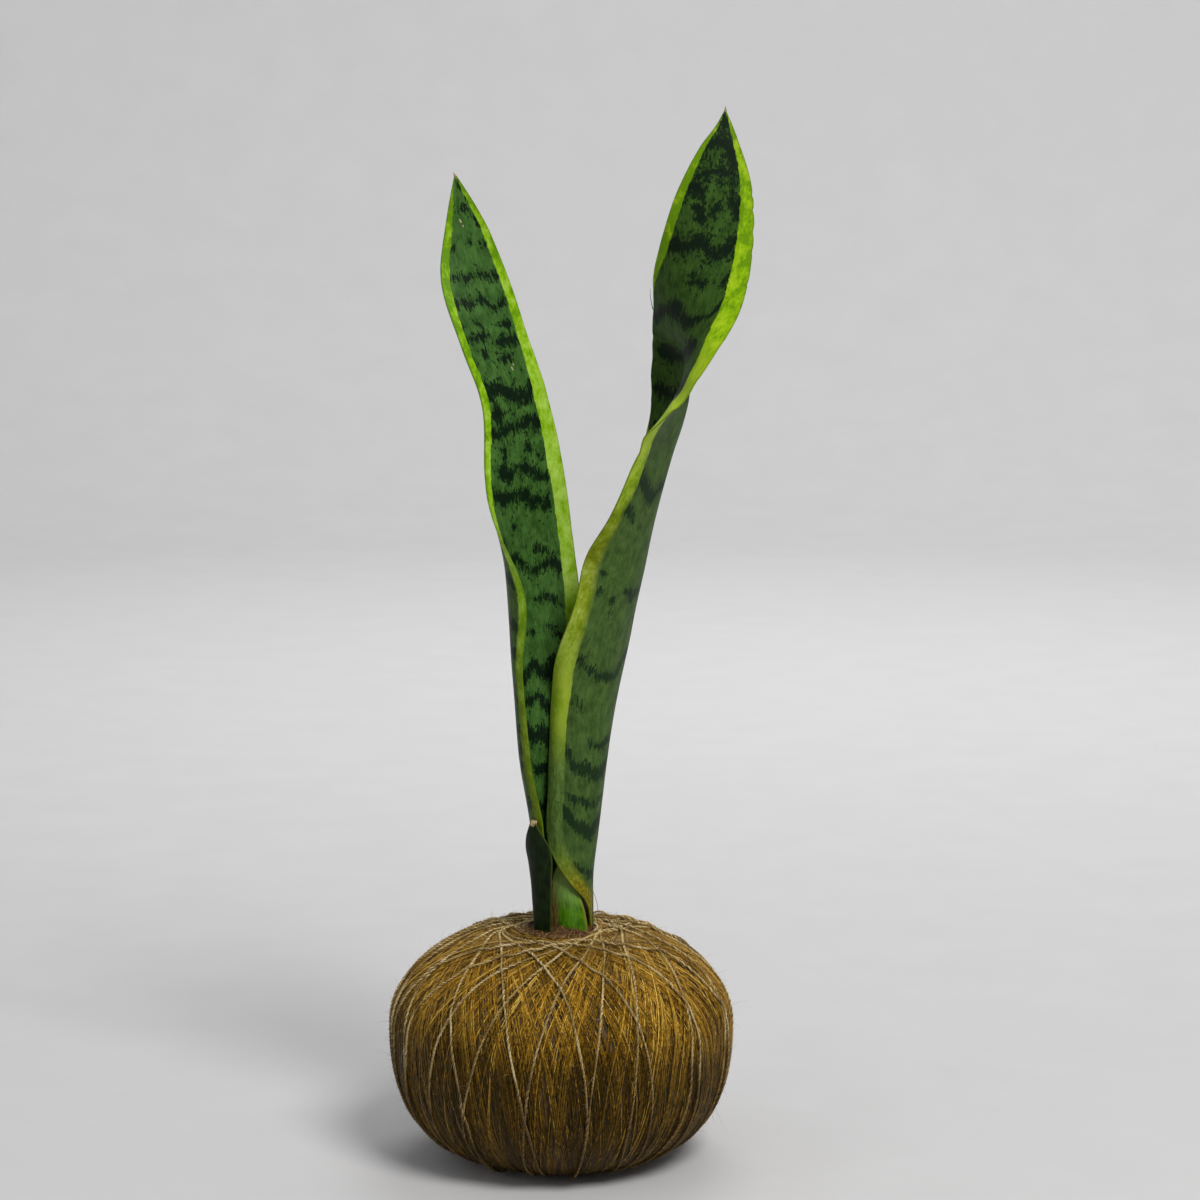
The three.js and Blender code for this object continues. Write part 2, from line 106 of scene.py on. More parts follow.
# ------------------------------------------------------------------ meshes
def make(name, V, quads=None, tris=None, attrs=None, smooth_faces=True):
    """A mesh object from vertices in millimetres, with float attributes on its points."""
    V = np.asarray(V, float).reshape(-1, 3) * 1e-3
    q = np.zeros((0, 4), int) if quads is None else np.asarray(quads, int).reshape(-1, 4)
    t = np.zeros((0, 3), int) if tris is None else np.asarray(tris, int).reshape(-1, 3)
    me = bpy.data.meshes.new(name)
    me.vertices.add(len(V))
    me.vertices.foreach_set("co", V.astype(np.float32).ravel())
    loops = np.concatenate([q.ravel(), t.ravel()]).astype(np.int32)
    me.loops.add(len(loops))
    me.loops.foreach_set("vertex_index", loops)
    starts = np.concatenate([np.arange(len(q)) * 4, len(q) * 4 + np.arange(len(t)) * 3]).astype(np.int32)
    me.polygons.add(len(starts))
    me.polygons.foreach_set("loop_start", starts)
    me.update(calc_edges=True)
    me.polygons.foreach_set("use_smooth", np.full(len(starts), smooth_faces, bool))
    for key, values in (attrs or {}).items():
        a = me.attributes.new(key, "FLOAT", "POINT")
        a.data.foreach_set("value", np.asarray(values, np.float32).ravel())
    me.validate()
    me.update()
    ob = bpy.data.objects.new(name, me)
    bpy.context.scene.collection.objects.link(ob)
    return ob


def tubes(P, N, R, sides, phase=0.0, squash=1.0):
    """Closed tubes along the centre lines P (n, m, 3) with radii R (n, m): vertices, quads and cap triangles."""
    n, m, _ = P.shape
    T = unit(np.gradient(P, axis=1))
    N = unit(N - (N * T).sum(-1, keepdims=True) * T)
    B = np.cross(T, N)
    a = 2 * PI * (np.arange(sides) + 0.5) / sides + np.asarray(phase)[..., None]
    a = np.broadcast_to(a, (n, m, sides))
    R = np.broadcast_to(R, (n, m))
    V = P[:, :, None, :] + R[:, :, None, None] * (
        squash * np.cos(a)[..., None] * N[:, :, None, :] + np.sin(a)[..., None] * B[:, :, None, :]
    )
    ids = np.arange(n * m * sides).reshape(n, m, sides)
    nxt = np.roll(ids, -1, axis=2)
    quads = np.stack([ids[:, :-1], nxt[:, :-1], nxt[:, 1:], ids[:, 1:]], -1).reshape(-1, 4)
    caps = []
    for k in range(1, sides - 1):
        caps.append(np.stack([ids[:, 0, 0], ids[:, 0, k + 1], ids[:, 0, k]], -1))
        caps.append(np.stack([ids[:, -1, 0], ids[:, -1, k], ids[:, -1, k + 1]], -1))
    return V.reshape(-1, 3), quads, np.concatenate(caps)


def per_point(values, m, sides):
    """One value for each strand, or each (strand, point), spread over the tube's vertices."""
    v = np.asarray(values, float)
    if v.ndim == 1:
        v = np.repeat(v[:, None], m, 1)
    return np.repeat(v.reshape(-1), sides)


class Merge:
    """Several tubes or lumps collected in one mesh."""

    def __init__(self):
        self.V, self.q, self.t, self.a, self.n = [], [], [], {}, 0

    def add(self, V, quads=None, tris=None, **attrs):
        V = np.asarray(V, float).reshape(-1, 3)
        if quads is not None and len(quads):
            self.q.append(np.asarray(quads) + self.n)
        if tris is not None and len(tris):
            self.t.append(np.asarray(tris) + self.n)
        for k, v in attrs.items():
            self.a.setdefault(k, []).append(np.broadcast_to(np.asarray(v, float), (len(V),)))
        self.V.append(V)
        self.n += len(V)

    def make(self, name, smooth_faces=True):
        return make(
            name,
            np.concatenate(self.V),
            np.concatenate(self.q) if self.q else None,
            np.concatenate(self.t) if self.t else None,
            {k: np.concatenate(v) for k, v in self.a.items()},
            smooth_faces,
        )


# ------------------------------------------------------------------ materials
def srgb(r, g, b):
    def f(c):
        c /= 255.0
        return c / 12.92 if c <= 0.04045 else ((c + 0.055) / 1.055) ** 2.4

    return (f(r), f(g), f(b), 1.0)


class Mat:
    """A node material with short calls for the nodes it is made of."""

    def __init__(self, name):
        self.mat = bpy.data.materials.new(name)
        self.mat.use_nodes = True
        self.nt = self.mat.node_tree
        self.nt.nodes.clear()
        self.out = self.nt.nodes.new("ShaderNodeOutputMaterial")
        self.bsdf = self.nt.nodes.new("ShaderNodeBsdfPrincipled")
        self.nt.links.new(self.bsdf.outputs[0], self.out.inputs[0])

    def _put(self, socket, value):
        if isinstance(value, bpy.types.NodeSocket):
            self.nt.links.new(value, socket)
        else:
            socket.default_value = value

    def set(self, **values):
        for k, v in values.items():
            self._put(self.bsdf.inputs[k.replace("_", " ")], v)
        return self

    def attr(self, name):
        n = self.nt.nodes.new("ShaderNodeAttribute")
        n.attribute_name = name
        return n.outputs["Fac"]

    def position(self):
        """Object coordinates in millimetres."""
        n = self.nt.nodes.new("ShaderNodeTexCoord")
        s = self.nt.nodes.new("ShaderNodeVectorMath")
        s.operation = "SCALE"
        self.nt.links.new(n.outputs["Object"], s.inputs[0])
        s.inputs["Scale"].default_value = 1000.0
        return s.outputs[0]

    def math(self, op, a, b=0.0, c=0.0, clamp=False):
        n = self.nt.nodes.new("ShaderNodeMath")
        n.operation = op
        n.use_clamp = clamp
        self._put(n.inputs[0], a)
        if len(n.inputs) > 1:
            self._put(n.inputs[1], b)
        if len(n.inputs) > 2:
            self._put(n.inputs[2], c)
        return n.outputs[0]

    def add(self, *terms):
        out = terms[0]
        for t in terms[1:]:
            out = self.math("ADD", out, t)
        return out

    def mul(self, a, b):
        return self.math("MULTIPLY", a, b)

    def vec(self, x, y, z=0.0):
        n = self.nt.nodes.new("ShaderNodeCombineXYZ")
        for i, v in enumerate((x, y, z)):
            self._put(n.inputs[i], v)
        return n.outputs[0]

    def noise(self, vector, scale=1.0, detail=2.0, rough=0.5, distortion=0.0):
        n = self.nt.nodes.new("ShaderNodeTexNoise")
        n.noise_dimensions = "3D"
        self._put(n.inputs["Vector"], vector)
        n.inputs["Scale"].default_value = scale
        n.inputs["Detail"].default_value = detail
        n.inputs["Roughness"].default_value = rough
        n.inputs["Distortion"].default_value = distortion
        return n.outputs["Fac"]

    def step(self, x, lo, hi, a=0.0, b=1.0):
        n = self.nt.nodes.new("ShaderNodeMapRange")
        n.interpolation_type = "SMOOTHSTEP"
        self._put(n.inputs["Value"], x)
        n.inputs["From Min"].default_value = lo
        n.inputs["From Max"].default_value = hi
        n.inputs["To Min"].default_value = a
        n.inputs["To Max"].default_value = b
        return n.outputs["Result"]

    def mix(self, fac, a, b, blend="MIX"):
        n = self.nt.nodes.new("ShaderNodeMix")
        n.data_type = "RGBA"
        n.blend_type = blend
        n.clamp_factor = True
        self._put(n.inputs[0], fac)
        self._put(n.inputs[6], a)
        self._put(n.inputs[7], b)
        return n.outputs[2]

    def ramp(self, fac, stops):
        n = self.nt.nodes.new("ShaderNodeValToRGB")
        e = n.color_ramp.elements
        while len(e) < len(stops):
            e.new(0.5)
        for i, (p, c) in enumerate(stops):
            e[i].position = p
            e[i].color = c
        self._put(n.inputs[0], fac)
        return n.outputs["Color"]

    def bump(self, height, strength, distance_mm, normal=None):
        n = self.nt.nodes.new("ShaderNodeBump")
        n.inputs["Strength"].default_value = strength
        n.inputs["Distance"].default_value = distance_mm * 1e-3
        self._put(n.inputs["Height"], height)
        if normal is not None:
            self._put(n.inputs["Normal"], normal)
        return n.outputs["Normal"]


def dress(ob, mat, slot, *nodes):
    ob.data.materials.clear()
    ob.data.materials.append(mat.mat if isinstance(mat, Mat) else mat)
    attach(ob, "root")
    if nodes:
        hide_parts(*nodes)
    return ob


# ------------------------------------------------------------------ leaves
# [z, x, y of the midrib, facing angle, developed half-widths left, right, curvatures left, right]
LEAF_TALL_LEFT = [
    [100.3, -8.77, 0.65, 70.1, 8.98, 12.22, 0.1101, 0.0688],
    [123.2, -10.17, 0.27, 64.1, 12.12, 14.89, 0.1019, 0.0614],
    [148.3, -9.91, -0.24, 55.8, 16.80, 16.81, 0.0913, 0.0535],
    [184.6, -12.68, -2.07, 38.6, 20.06, 20.33, 0.0859, 0.0431],
    [220.6, -13.40, 0.36, 35.0, 24.90, 24.78, 0.0663, 0.0327],
    [251.9, -16.85, 2.06, 43.4, 28.32, 28.20, 0.0635, 0.0243],
    [278.6, -17.40, 4.13, 45.8, 27.93, 27.58, 0.0362, 0.0145],
    [309.6, -17.16, 3.16, 39.2, 22.23, 22.37, 0.0103, 0.0058],
    [340.4, -20.61, 3.35, 38.7, 18.33, 18.49, 0.0088, -0.0007],
    [371.0, -30.41, 3.84, 34.3, 18.12, 17.76, 0.0103, -0.0048],
    [396.2, -38.22, 4.18, 20.1, 14.95, 14.90, 0.0045, -0.0056],
    [415.3, -41.44, 4.41, 5.2, 8.92, 9.33, 0.0029, -0.0013],
    [429.1, -43.92, 4.68, -4.9, 4.05, 4.32, 0.0019, 0.0017],
    [437.7, -45.51, 4.86, -11.1, 0.46, 0.60, 0.0013, 0.0035],
]
LEAF_TALL_RIGHT = [
    [100.3, 13.08, 1.51, -79.1, 13.40, 1.20, 0.0692, 0.0791],
    [116.4, 12.92, 0.95, -92.6, 16.29, 6.08, 0.0632, 0.0785],
    [127.3, 12.57, 0.39, -103.2, 18.24, 13.72, 0.0593, 0.0798],
    [139.2, 12.98, -0.40, -112.6, 20.29, 20.49, 0.0555, 0.0799],
    [171.0, 15.80, -1.74, -118.2, 24.98, 25.31, 0.0492, 0.0782],
    [207.1, 19.08, -1.35, -125.0, 27.42, 27.47, 0.0376, 0.0726],
    [238.5, 25.55, 2.15, -118.2, 28.16, 28.17, 0.0200, 0.0332],
    [265.3, 33.65, 6.49, -114.3, 28.62, 29.84, 0.0290, 0.0370],
    [287.5, 39.42, 7.30, -113.1, 28.70, 28.59, 0.0486, 0.0190],
    [305.2, 44.01, 7.33, -115.4, 29.62, 28.69, 0.0575, 0.0065],
    [318.4, 47.44, 7.12, -119.0, 30.73, 30.15, 0.0594, -0.0054],
    [329.4, 51.33, 4.98, -117.0, 31.53, 31.71, 0.0636, -0.0037],
    [339.5, 53.99, 1.98, -114.7, 31.91, 33.20, 0.0661, -0.0081],
    [349.2, 55.24, -1.33, -105.8, 31.87, 33.89, 0.0518, -0.0059],
    [360.1, 55.03, -5.30, -89.5, 31.30, 33.62, 0.0287, -0.0036],
    [373.2, 54.00, -8.22, -65.5, 29.75, 30.96, 0.0018, -0.0092],
    [388.4, 57.64, -8.96, -43.0, 27.09, 27.58, -0.0093, -0.0049],
    [410.1, 63.25, -8.30, -22.3, 22.41, 22.17, -0.0196, 0.0019],
    [431.7, 67.54, -5.54, -10.8, 16.49, 16.50, -0.0151, 0.0078],
    [448.9, 69.65, -2.82, -3.7, 9.12, 9.52, -0.0002, 0.0105],
    [459.6, 71.14, -1.10, 0.2, 3.26, 3.78, 0.0096, 0.0119],
    [465.6, 71.60, -0.13, 2.4, 0.45, 0.45, 0.0152, 0.0127],
]
LEAF_SHORT = [
    [100.8, -8.90, -13.00, 146.0, 5.00, 4.40, 0.0850, 0.1200],
    [109.5, -9.00, -13.60, 146.0, 5.40, 4.70, 0.0850, 0.1200],
    [119.5, -9.30, -14.30, 146.0, 5.80, 5.10, 0.0800, 0.1150],
    [128.5, -9.70, -15.00, 146.0, 6.40, 5.50, 0.0750, 0.1100],
    [136.5, -10.40, -15.70, 145.0, 7.40, 6.40, 0.0700, 0.1000],
    [143.5, -11.40, -16.30, 143.0, 7.50, 6.60, 0.0700, 0.0800],
    [149.0, -12.00, -16.40, 140.0, 5.40, 4.80, 0.0700, 0.0700],
    [153.0, -12.20, -16.20, 138.0, 3.00, 2.60, 0.0700, 0.0700],
    [156.1, -12.20, -16.00, 136.0, 1.40, 1.20, 0.0700, 0.0700],
]
LEAF_SHEATH = [
    [100.8, 5.00, -10.80, 180.0, 7.60, 8.60, 0.1000, 0.0900],
    [107.5, 5.00, -9.80, 180.0, 7.40, 9.30, 0.1000, 0.0900],
    [113.5, 4.80, -8.00, 180.0, 6.20, 9.60, 0.1200, 0.0900],
    [119.5, 4.00, -6.20, 180.0, 4.80, 8.90, 0.1400, 0.0900],
    [125.5, 3.20, -5.10, 180.0, 4.20, 7.60, 0.1400, 0.1000],
    [130.5, 2.20, -4.60, 180.0, 3.40, 5.60, 0.1400, 0.1000],
    [133.6, 1.40, -4.40, 180.0, 2.00, 3.20, 0.1400, 0.1000],
]

# Dark cross bands: for each, points of (distance from the midrib, height, half height)
BANDS_LEFT = [
    [(0.9, 433.7, 2.3), (2.2, 429.6, 1.3), (3.3, 425.6, 1.0)],
    [(-2.8, 422.4, 0.6), (0.2, 423.2, 1.0), (3.2, 422.4, 1.2), (4.8, 418.4, 1.3), (5.9, 415.2, 0.8)],
    [(-8.2, 407.9, 2.1), (-6.5, 407.9, 1.6)],
    [(-0.7, 409.5, 0.4), (1.7, 408.7, 0.6)],
    [(5.5, 407.9, 0.7), (7.2, 407.1, 1.2)],
    [(-11.6, 396.6, 1.5), (-8.1, 395.0, 0.7), (-6.3, 395.0, 1.2), (-4.4, 393.4, 1.9), (-2.3, 394.2, 1.1), (0.5, 394.2, 0.6), (3.6, 394.2, 1.8), (5.7, 392.6, 1.2), (10.2, 391.8, 2.1)],
    [(-13.6, 387.0, 1.9), (-12.6, 385.4, 1.6), (-9.8, 385.4, 0.8), (-7.9, 384.6, 2.1), (-4.5, 384.6, 2.3), (-3.7, 383.8, 0.5)],
    [(-2.3, 384.6, 0.6), (0.0, 383.8, 2.6), (2.0, 381.3, 1.9), (3.4, 379.7, 1.2), (6.0, 378.9, 1.1), (10.5, 381.3, 2.4)],
    [(-16.2, 377.3, 1.1), (-14.2, 376.5, 2.4), (-12.7, 375.7, 0.8)],
    [(-8.0, 376.5, 0.8), (-4.8, 374.9, 2.1), (-4.2, 371.7, 1.0)],
    [(3.8, 372.5, 0.8), (6.8, 371.7, 1.5), (9.8, 370.9, 2.1)],
    [(-16.0, 371.7, 1.8), (-12.5, 369.3, 1.1), (-5.2, 369.3, 1.9), (-2.4, 368.5, 0.8)],
    [(-1.5, 365.2, 1.1), (1.5, 364.4, 2.1), (4.5, 364.4, 2.6), (10.8, 363.6, 2.7)],
    [(-17.7, 362.8, 1.6), (-15.0, 361.2, 1.8), (-14.1, 360.4, 0.6)],
    [(-9.5, 362.8, 1.0), (-7.3, 362.0, 2.7), (-6.1, 361.2, 0.8)],
    [(-2.7, 358.8, 0.6), (-0.3, 358.0, 1.5), (4.8, 358.0, 1.6), (6.0, 358.0, 0.8)],
    [(-16.3, 349.1, 2.4), (-12.7, 347.5, 4.9), (-9.7, 346.7, 3.2), (-5.4, 346.7, 3.2), (-3.0, 344.3, 3.6), (-0.9, 341.9, 3.2), (3.1, 341.1, 2.9), (7.1, 340.3, 3.6), (11.0, 343.5, 3.2)],
    [(-11.9, 335.4, 4.9), (-10.3, 335.4, 4.9)],
    [(-10.4, 329.0, 1.0), (-4.9, 329.0, 1.5), (0.3, 329.0, 1.6), (6.5, 330.6, 2.4), (10.2, 328.2, 3.4)],
    [(-17.2, 328.2, 3.2), (-15.0, 327.4, 3.4), (-12.6, 325.8, 2.4), (-7.1, 329.0, 2.1), (-1.0, 328.2, 1.3), (3.6, 329.0, 1.8), (9.2, 329.0, 1.6)],
    [(-10.1, 318.5, 2.4), (-8.7, 317.7, 1.6)],
    [(2.8, 319.3, 2.3), (4.6, 317.7, 2.7), (5.6, 317.7, 0.8)],
    [(8.6, 315.3, 1.0), (10.8, 315.3, 1.3)],
    [(-13.3, 309.7, 2.4), (-10.0, 309.7, 4.4), (-7.2, 306.5, 3.2), (-2.9, 310.5, 1.1), (1.1, 310.5, 2.4), (4.9, 307.3, 2.1), (8.4, 306.5, 1.8), (12.7, 305.6, 1.9)],
    [(-19.2, 300.0, 2.4), (-13.5, 297.6, 4.0), (-10.6, 297.6, 2.4), (-5.7, 298.4, 2.3), (-1.2, 299.2, 2.4), (2.5, 297.6, 4.2), (5.5, 293.6, 2.7), (8.7, 295.2, 1.6), (13.9, 293.6, 3.2)],
    [(-7.7, 284.7, 1.6), (-5.4, 284.7, 2.1)],
    [(6.0, 275.0, 0.6), (8.4, 274.2, 1.9), (10.3, 273.4, 1.1), (14.0, 274.2, 1.0)],
    [(-26.0, 276.0, 1.6), (-20.0, 279.0, 2.2), (-15.0, 277.0, 1.0)],
    [(-24.7, 258.9, 3.4), (-21.4, 261.4, 3.2), (-18.1, 263.8, 3.2), (-12.0, 268.0, 2.0), (-5.7, 271.0, 1.9), (-1.9, 268.6, 2.4), (1.4, 265.4, 1.6), (6.1, 263.8, 1.9), (9.4, 265.4, 1.8), (12.2, 267.8, 1.9), (16.0, 267.8, 2.3), (19.4, 265.4, 4.0)],
    [(5.6, 251.7, 0.6), (8.5, 251.7, 1.1), (11.8, 253.3, 2.1), (14.1, 251.7, 1.9), (16.8, 249.3, 1.3), (19.5, 246.9, 1.0)],
    [(-23.0, 242.0, 2.4), (-19.4, 242.8, 2.4), (-14.0, 245.5, 1.0)],
    [(0.9, 237.2, 1.1), (3.1, 236.4, 1.6)],
    [(10.4, 238.0, 0.6), (12.5, 236.4, 1.3), (15.0, 234.0, 2.4), (17.1, 232.4, 2.4)],
    [(-23.7, 228.3, 3.2), (-22.5, 229.1, 3.2), (-20.5, 230.8, 2.9), (-14.0, 233.0, 1.4)],
    [(-21.7, 208.2, 0.9), (-20.2, 209.0, 1.3), (-18.3, 209.0, 1.5), (-12.0, 213.5, 2.2), (-6.5, 217.1, 4.0), (-3.3, 217.9, 2.9), (0.8, 224.3, 3.2), (3.3, 220.3, 3.6), (5.7, 218.7, 2.7), (8.6, 218.7, 4.4), (11.2, 221.1, 5.7), (17.0, 221.0, 4.0)],
    [(-5.0, 207.4, 2.2), (-3.4, 205.8, 3.4), (-0.8, 207.4, 1.9), (2.7, 209.0, 1.9), (5.3, 205.0, 3.7), (7.9, 203.4, 3.2), (15.0, 204.0, 2.4)],
    [(-19.4, 196.1, 1.0), (-17.1, 195.3, 1.8), (-15.3, 195.3, 1.8), (-10.0, 197.0, 2.0), (-4.6, 195.3, 4.4), (-1.7, 192.1, 4.1), (1.4, 190.5, 3.1), (3.9, 192.9, 3.7), (7.0, 189.7, 4.4), (14.0, 191.0, 3.0)],
    [(-17.3, 187.3, 1.6), (-14.2, 186.5, 1.9), (-9.0, 184.0, 0.8)],
    [(-16.7, 180.8, 1.6), (-14.8, 181.6, 1.6), (-9.0, 179.0, 1.0), (-2.3, 178.4, 1.2), (1.6, 175.2, 2.6), (3.9, 176.0, 2.1), (6.1, 176.0, 2.2), (13.0, 174.0, 2.4)],
    [(-15.0, 165.0, 1.4), (-8.0, 161.5, 2.8), (1.0, 158.0, 2.2), (8.0, 161.0, 3.0), (14.0, 158.0, 2.0)],
    [(-14.0, 148.0, 1.6), (-6.0, 145.0, 2.6), (4.0, 142.0, 3.0), (12.0, 145.0, 2.0)],
    [(-12.0, 131.0, 1.6), (-3.0, 128.0, 2.4), (7.0, 131.0, 2.2), (12.0, 129.0, 1.4)],
    [(-10.0, 117.0, 1.4), (2.0, 114.0, 2.2), (10.0, 116.0, 1.6)],
]
BANDS_RIGHT = [
    [(-0.8, 461.2, 2.9), (1.3, 460.4, 2.9)],
    [(-6.2, 449.0, 1.6), (-3.6, 451.6, 2.3), (-0.5, 452.5, 1.8), (3.0, 450.8, 3.8), (6.2, 447.3, 3.8), (8.0, 446.4, 3.4)],
    [(-9.2, 436.8, 1.8), (-7.3, 437.7, 1.4), (-3.9, 438.6, 0.9), (-0.4, 439.4, 1.2), (3.4, 439.4, 1.1), (8.6, 438.6, 1.6)],
    [(-12.1, 431.6, 2.7), (-9.5, 432.5, 3.4), (-7.0, 430.7, 2.9), (-5.7, 429.8, 1.4)],
    [(-6.7, 422.9, 2.3), (-4.3, 420.3, 4.5), (-2.4, 418.5, 2.3)],
    [(1.3, 422.9, 2.3), (2.5, 424.6, 2.3)],
    [(7.4, 428.1, 1.8), (11.3, 425.5, 4.1), (12.1, 424.6, 4.5)],
    [(-17.3, 402.8, 2.3), (-15.2, 406.3, 3.8), (-11.1, 404.6, 2.7), (-7.4, 405.4, 2.5), (-3.7, 409.8, 3.2), (-0.4, 408.1, 2.9), (4.3, 405.4, 2.5), (8.9, 406.3, 2.9), (11.1, 409.8, 3.4), (14.5, 411.5, 4.5)],
    [(-3.5, 391.5, 0.7), (1.3, 392.4, 1.8), (5.3, 393.2, 1.6), (6.7, 392.4, 0.7)],
    [(13.4, 395.0, 0.9), (15.0, 395.8, 1.8), (16.9, 397.6, 1.8)],
    [(-26.4, 372.3, 2.3), (-20.2, 374.9, 2.9), (-16.1, 376.7, 1.6), (-10.1, 378.4, 4.3), (-5.3, 378.4, 3.8), (2.5, 374.9, 2.9), (9.5, 377.5, 2.3), (11.9, 379.3, 2.0), (15.5, 381.9, 1.1), (17.1, 384.5, 2.7), (18.6, 387.1, 2.7)],
    [(-26.4, 353.1, 4.1), (-21.2, 353.1, 4.5), (-12.1, 354.9, 2.3), (3.3, 361.8, 2.5), (9.8, 366.2, 3.8), (14.5, 368.0, 3.4)],
    [(-8.5, 353.1, 2.3), (2.8, 358.4, 1.6)],
    [(-29.1, 334.8, 2.7), (-26.0, 334.8, 3.2), (-21.7, 334.8, 1.8), (-12.0, 338.0, 2.8), (0.0, 342.0, 2.2), (10.0, 349.0, 3.0), (19.2, 354.0, 2.7), (24.8, 357.5, 2.3)],
    [(-28.0, 319.0, 1.8), (-18.0, 316.0, 3.0), (-6.0, 319.0, 1.4)],
    [(-24.0, 298.0, 2.0), (-14.0, 303.0, 3.2), (-5.0, 304.0, 2.2), (1.4, 300.8, 2.4), (4.7, 297.3, 3.2), (9.0, 297.3, 4.4), (13.8, 300.8, 4.0), (19.1, 305.2, 3.2), (22.5, 306.1, 1.6)],
    [(-23.0, 283.0, 2.0), (-13.0, 286.0, 3.0), (-5.0, 284.0, 1.4)],
    [(14.8, 286.9, 0.8), (16.7, 287.7, 2.4), (21.4, 290.4, 2.4), (23.3, 288.6, 1.8)],
    [(8.6, 283.4, 1.1), (10.1, 283.4, 0.8)],
    [(-26.0, 273.0, 1.4), (-17.0, 270.0, 2.4), (-11.0, 272.0, 1.0)],
    [(19.8, 259.0, 1.9), (20.8, 259.0, 1.8)],
    [(19.4, 251.1, 1.9), (20.3, 250.3, 1.6)],
    [(12.0, 248.5, 2.4), (13.5, 248.5, 1.6)],
    [(11.4, 244.2, 1.6), (12.3, 243.3, 1.3)],
    [(-26.0, 262.0, 2.2), (-16.0, 259.0, 3.2), (-7.1, 256.4, 1.9), (0.0, 253.7, 3.4), (4.9, 254.6, 1.5), (6.8, 253.7, 1.3)],
    [(-27.0, 246.0, 1.4), (-19.0, 243.0, 2.6), (-12.0, 245.0, 1.2)],
    [(-26.0, 233.0, 2.2), (-17.0, 230.0, 3.4), (-8.8, 225.9, 2.4), (-6.0, 221.5, 3.6), (-3.7, 218.9, 2.4), (-0.5, 217.1, 2.3), (3.7, 218.0, 2.1), (7.9, 218.0, 1.9), (10.2, 219.7, 1.6), (13.9, 220.6, 1.5), (16.7, 222.4, 2.1), (18.5, 222.4, 1.9)],
    [(-25.0, 211.0, 2.0), (-15.0, 208.0, 2.6), (-8.0, 209.0, 1.0)],
    [(11.4, 204.1, 0.4), (12.3, 204.1, 1.6), (13.7, 205.8, 0.9), (15.5, 205.8, 0.6)],
    [(-24.0, 195.0, 2.0), (-16.0, 192.0, 3.0), (-9.7, 189.2, 1.5), (-4.9, 189.2, 1.9), (-1.3, 186.6, 2.2), (2.7, 187.5, 1.3), (5.8, 187.5, 1.2), (7.1, 189.2, 1.9), (8.5, 189.2, 0.4)],
    [(-23.0, 181.0, 2.2), (-15.0, 184.5, 3.0), (-7.4, 182.3, 1.9), (-6.0, 178.8, 3.7), (-1.7, 175.3, 3.7), (3.0, 174.4, 2.9), (6.9, 176.2, 3.2), (10.0, 177.9, 3.1), (13.5, 178.8, 2.9), (14.9, 182.3, 3.4), (16.3, 184.0, 1.8)],
    [(-21.0, 168.0, 2.0), (-12.0, 166.0, 2.6), (-3.2, 163.1, 0.9), (-0.4, 162.2, 1.3), (2.5, 160.5, 1.8), (6.2, 161.3, 1.8), (8.7, 163.1, 1.3), (12.0, 163.1, 1.2), (13.7, 164.8, 1.5), (15.3, 165.7, 0.7)],
    [(-20.0, 155.0, 2.6), (-11.0, 153.0, 3.2), (-1.5, 151.7, 3.7), (2.7, 148.3, 3.7), (6.3, 149.1, 3.4), (9.6, 151.7, 2.9), (12.1, 154.4, 2.9), (14.3, 157.0, 3.7), (15.9, 157.9, 2.2)],
    [(-17.0, 133.0, 2.0), (-9.0, 129.0, 2.8), (-0.6, 128.2, 2.6), (6.6, 130.8, 2.2), (10.2, 133.4, 1.6), (12.0, 134.3, 1.0)],
    [(-15.0, 115.0, 1.6), (-6.0, 112.0, 2.4), (4.0, 114.0, 1.8)],
]
# widths of the pale margins: (height, left, right)
MARGIN_LEFT = [(100.3, 4, 7), (123.2, 4, 7.1), (148.3, 4, 7.1), (184.6, 4, 7.2), (220.6, 3.9, 7.3), (251.9, 3.7, 7.1), (278.6, 3.4, 7.4), (309.6, 3.2, 8.5), (340.4, 3.8, 7.7), (371.0, 3.6, 5.5), (396.2, 4.0, 4.2), (415.3, 3.4, 3.0), (429.1, 1.6, 1.9), (437.7, 0.2, 0.5)]
MARGIN_RIGHT = [(100.3, 5, 7.0), (116.4, 5, 7.4), (127.3, 5, 7.7), (139.2, 5, 8.0), (171.0, 5, 8.9), (207.1, 5, 10.9), (238.5, 5, 7.6), (265.3, 5, 7.2), (287.5, 5, 5.9), (305.2, 5, 8.0), (318.4, 5, 9.0), (329.4, 4.8, 9.8), (349.2, 4.8, 10.5), (373.2, 4.7, 10.3), (388.4, 6.2, 9.5), (410.1, 6.0, 7.8), (431.7, 4.4, 5.5), (448.9, 2.6, 3.1), (459.6, 1.1, 1.6), (465.6, 0.2, 0.2)]
# how mustard and how pale the margins are: (height, mustard, pale)
TINT_LEFT = [(100, 0.9, 0), (150, 0.75, 0), (200, 0.6, 0.1), (240, 0.35, 0.3), (262, 0.15, 0.55), (300, 0.0, 0.62), (330, 0.0, 0.45), (360, 0.0, 0.25), (400, 0.0, 0.15), (440, 0.1, 0.05)]
# On the right blade the pale values where it twists, from about 318 to 352, are partly the margin's own lime and partly
# painted light, lightening the margin where it lies in shade.
TINT_RIGHT = [(100, 1, 0), (122, 1, 0), (140, 0.65, 0.1), (160, 0.4, 0.35), (190, 0.25, 0.9), (215, 0.35, 0.9), (232, 0.7, 0.45), (262, 1, 0.05), (290, 0.75, 0.1), (303, 0.45, 0.3), (318, 0.25, 0.8), (338, 0.12, 1.0), (352, 0.05, 0.95), (364, 0.0, 0.6), (380, 0.0, 0.15), (420, 0.05, -0.05), (466, 0.2, 0)]
# how much of the right blade's left margin is in sight; the rest is rolled back: (height, share)
ROLLED_RIGHT = [(100, 1), (310, 1), (322, 0), (377, 0), (384, 0.3), (391, 0.66), (399, 1), (466, 1)]


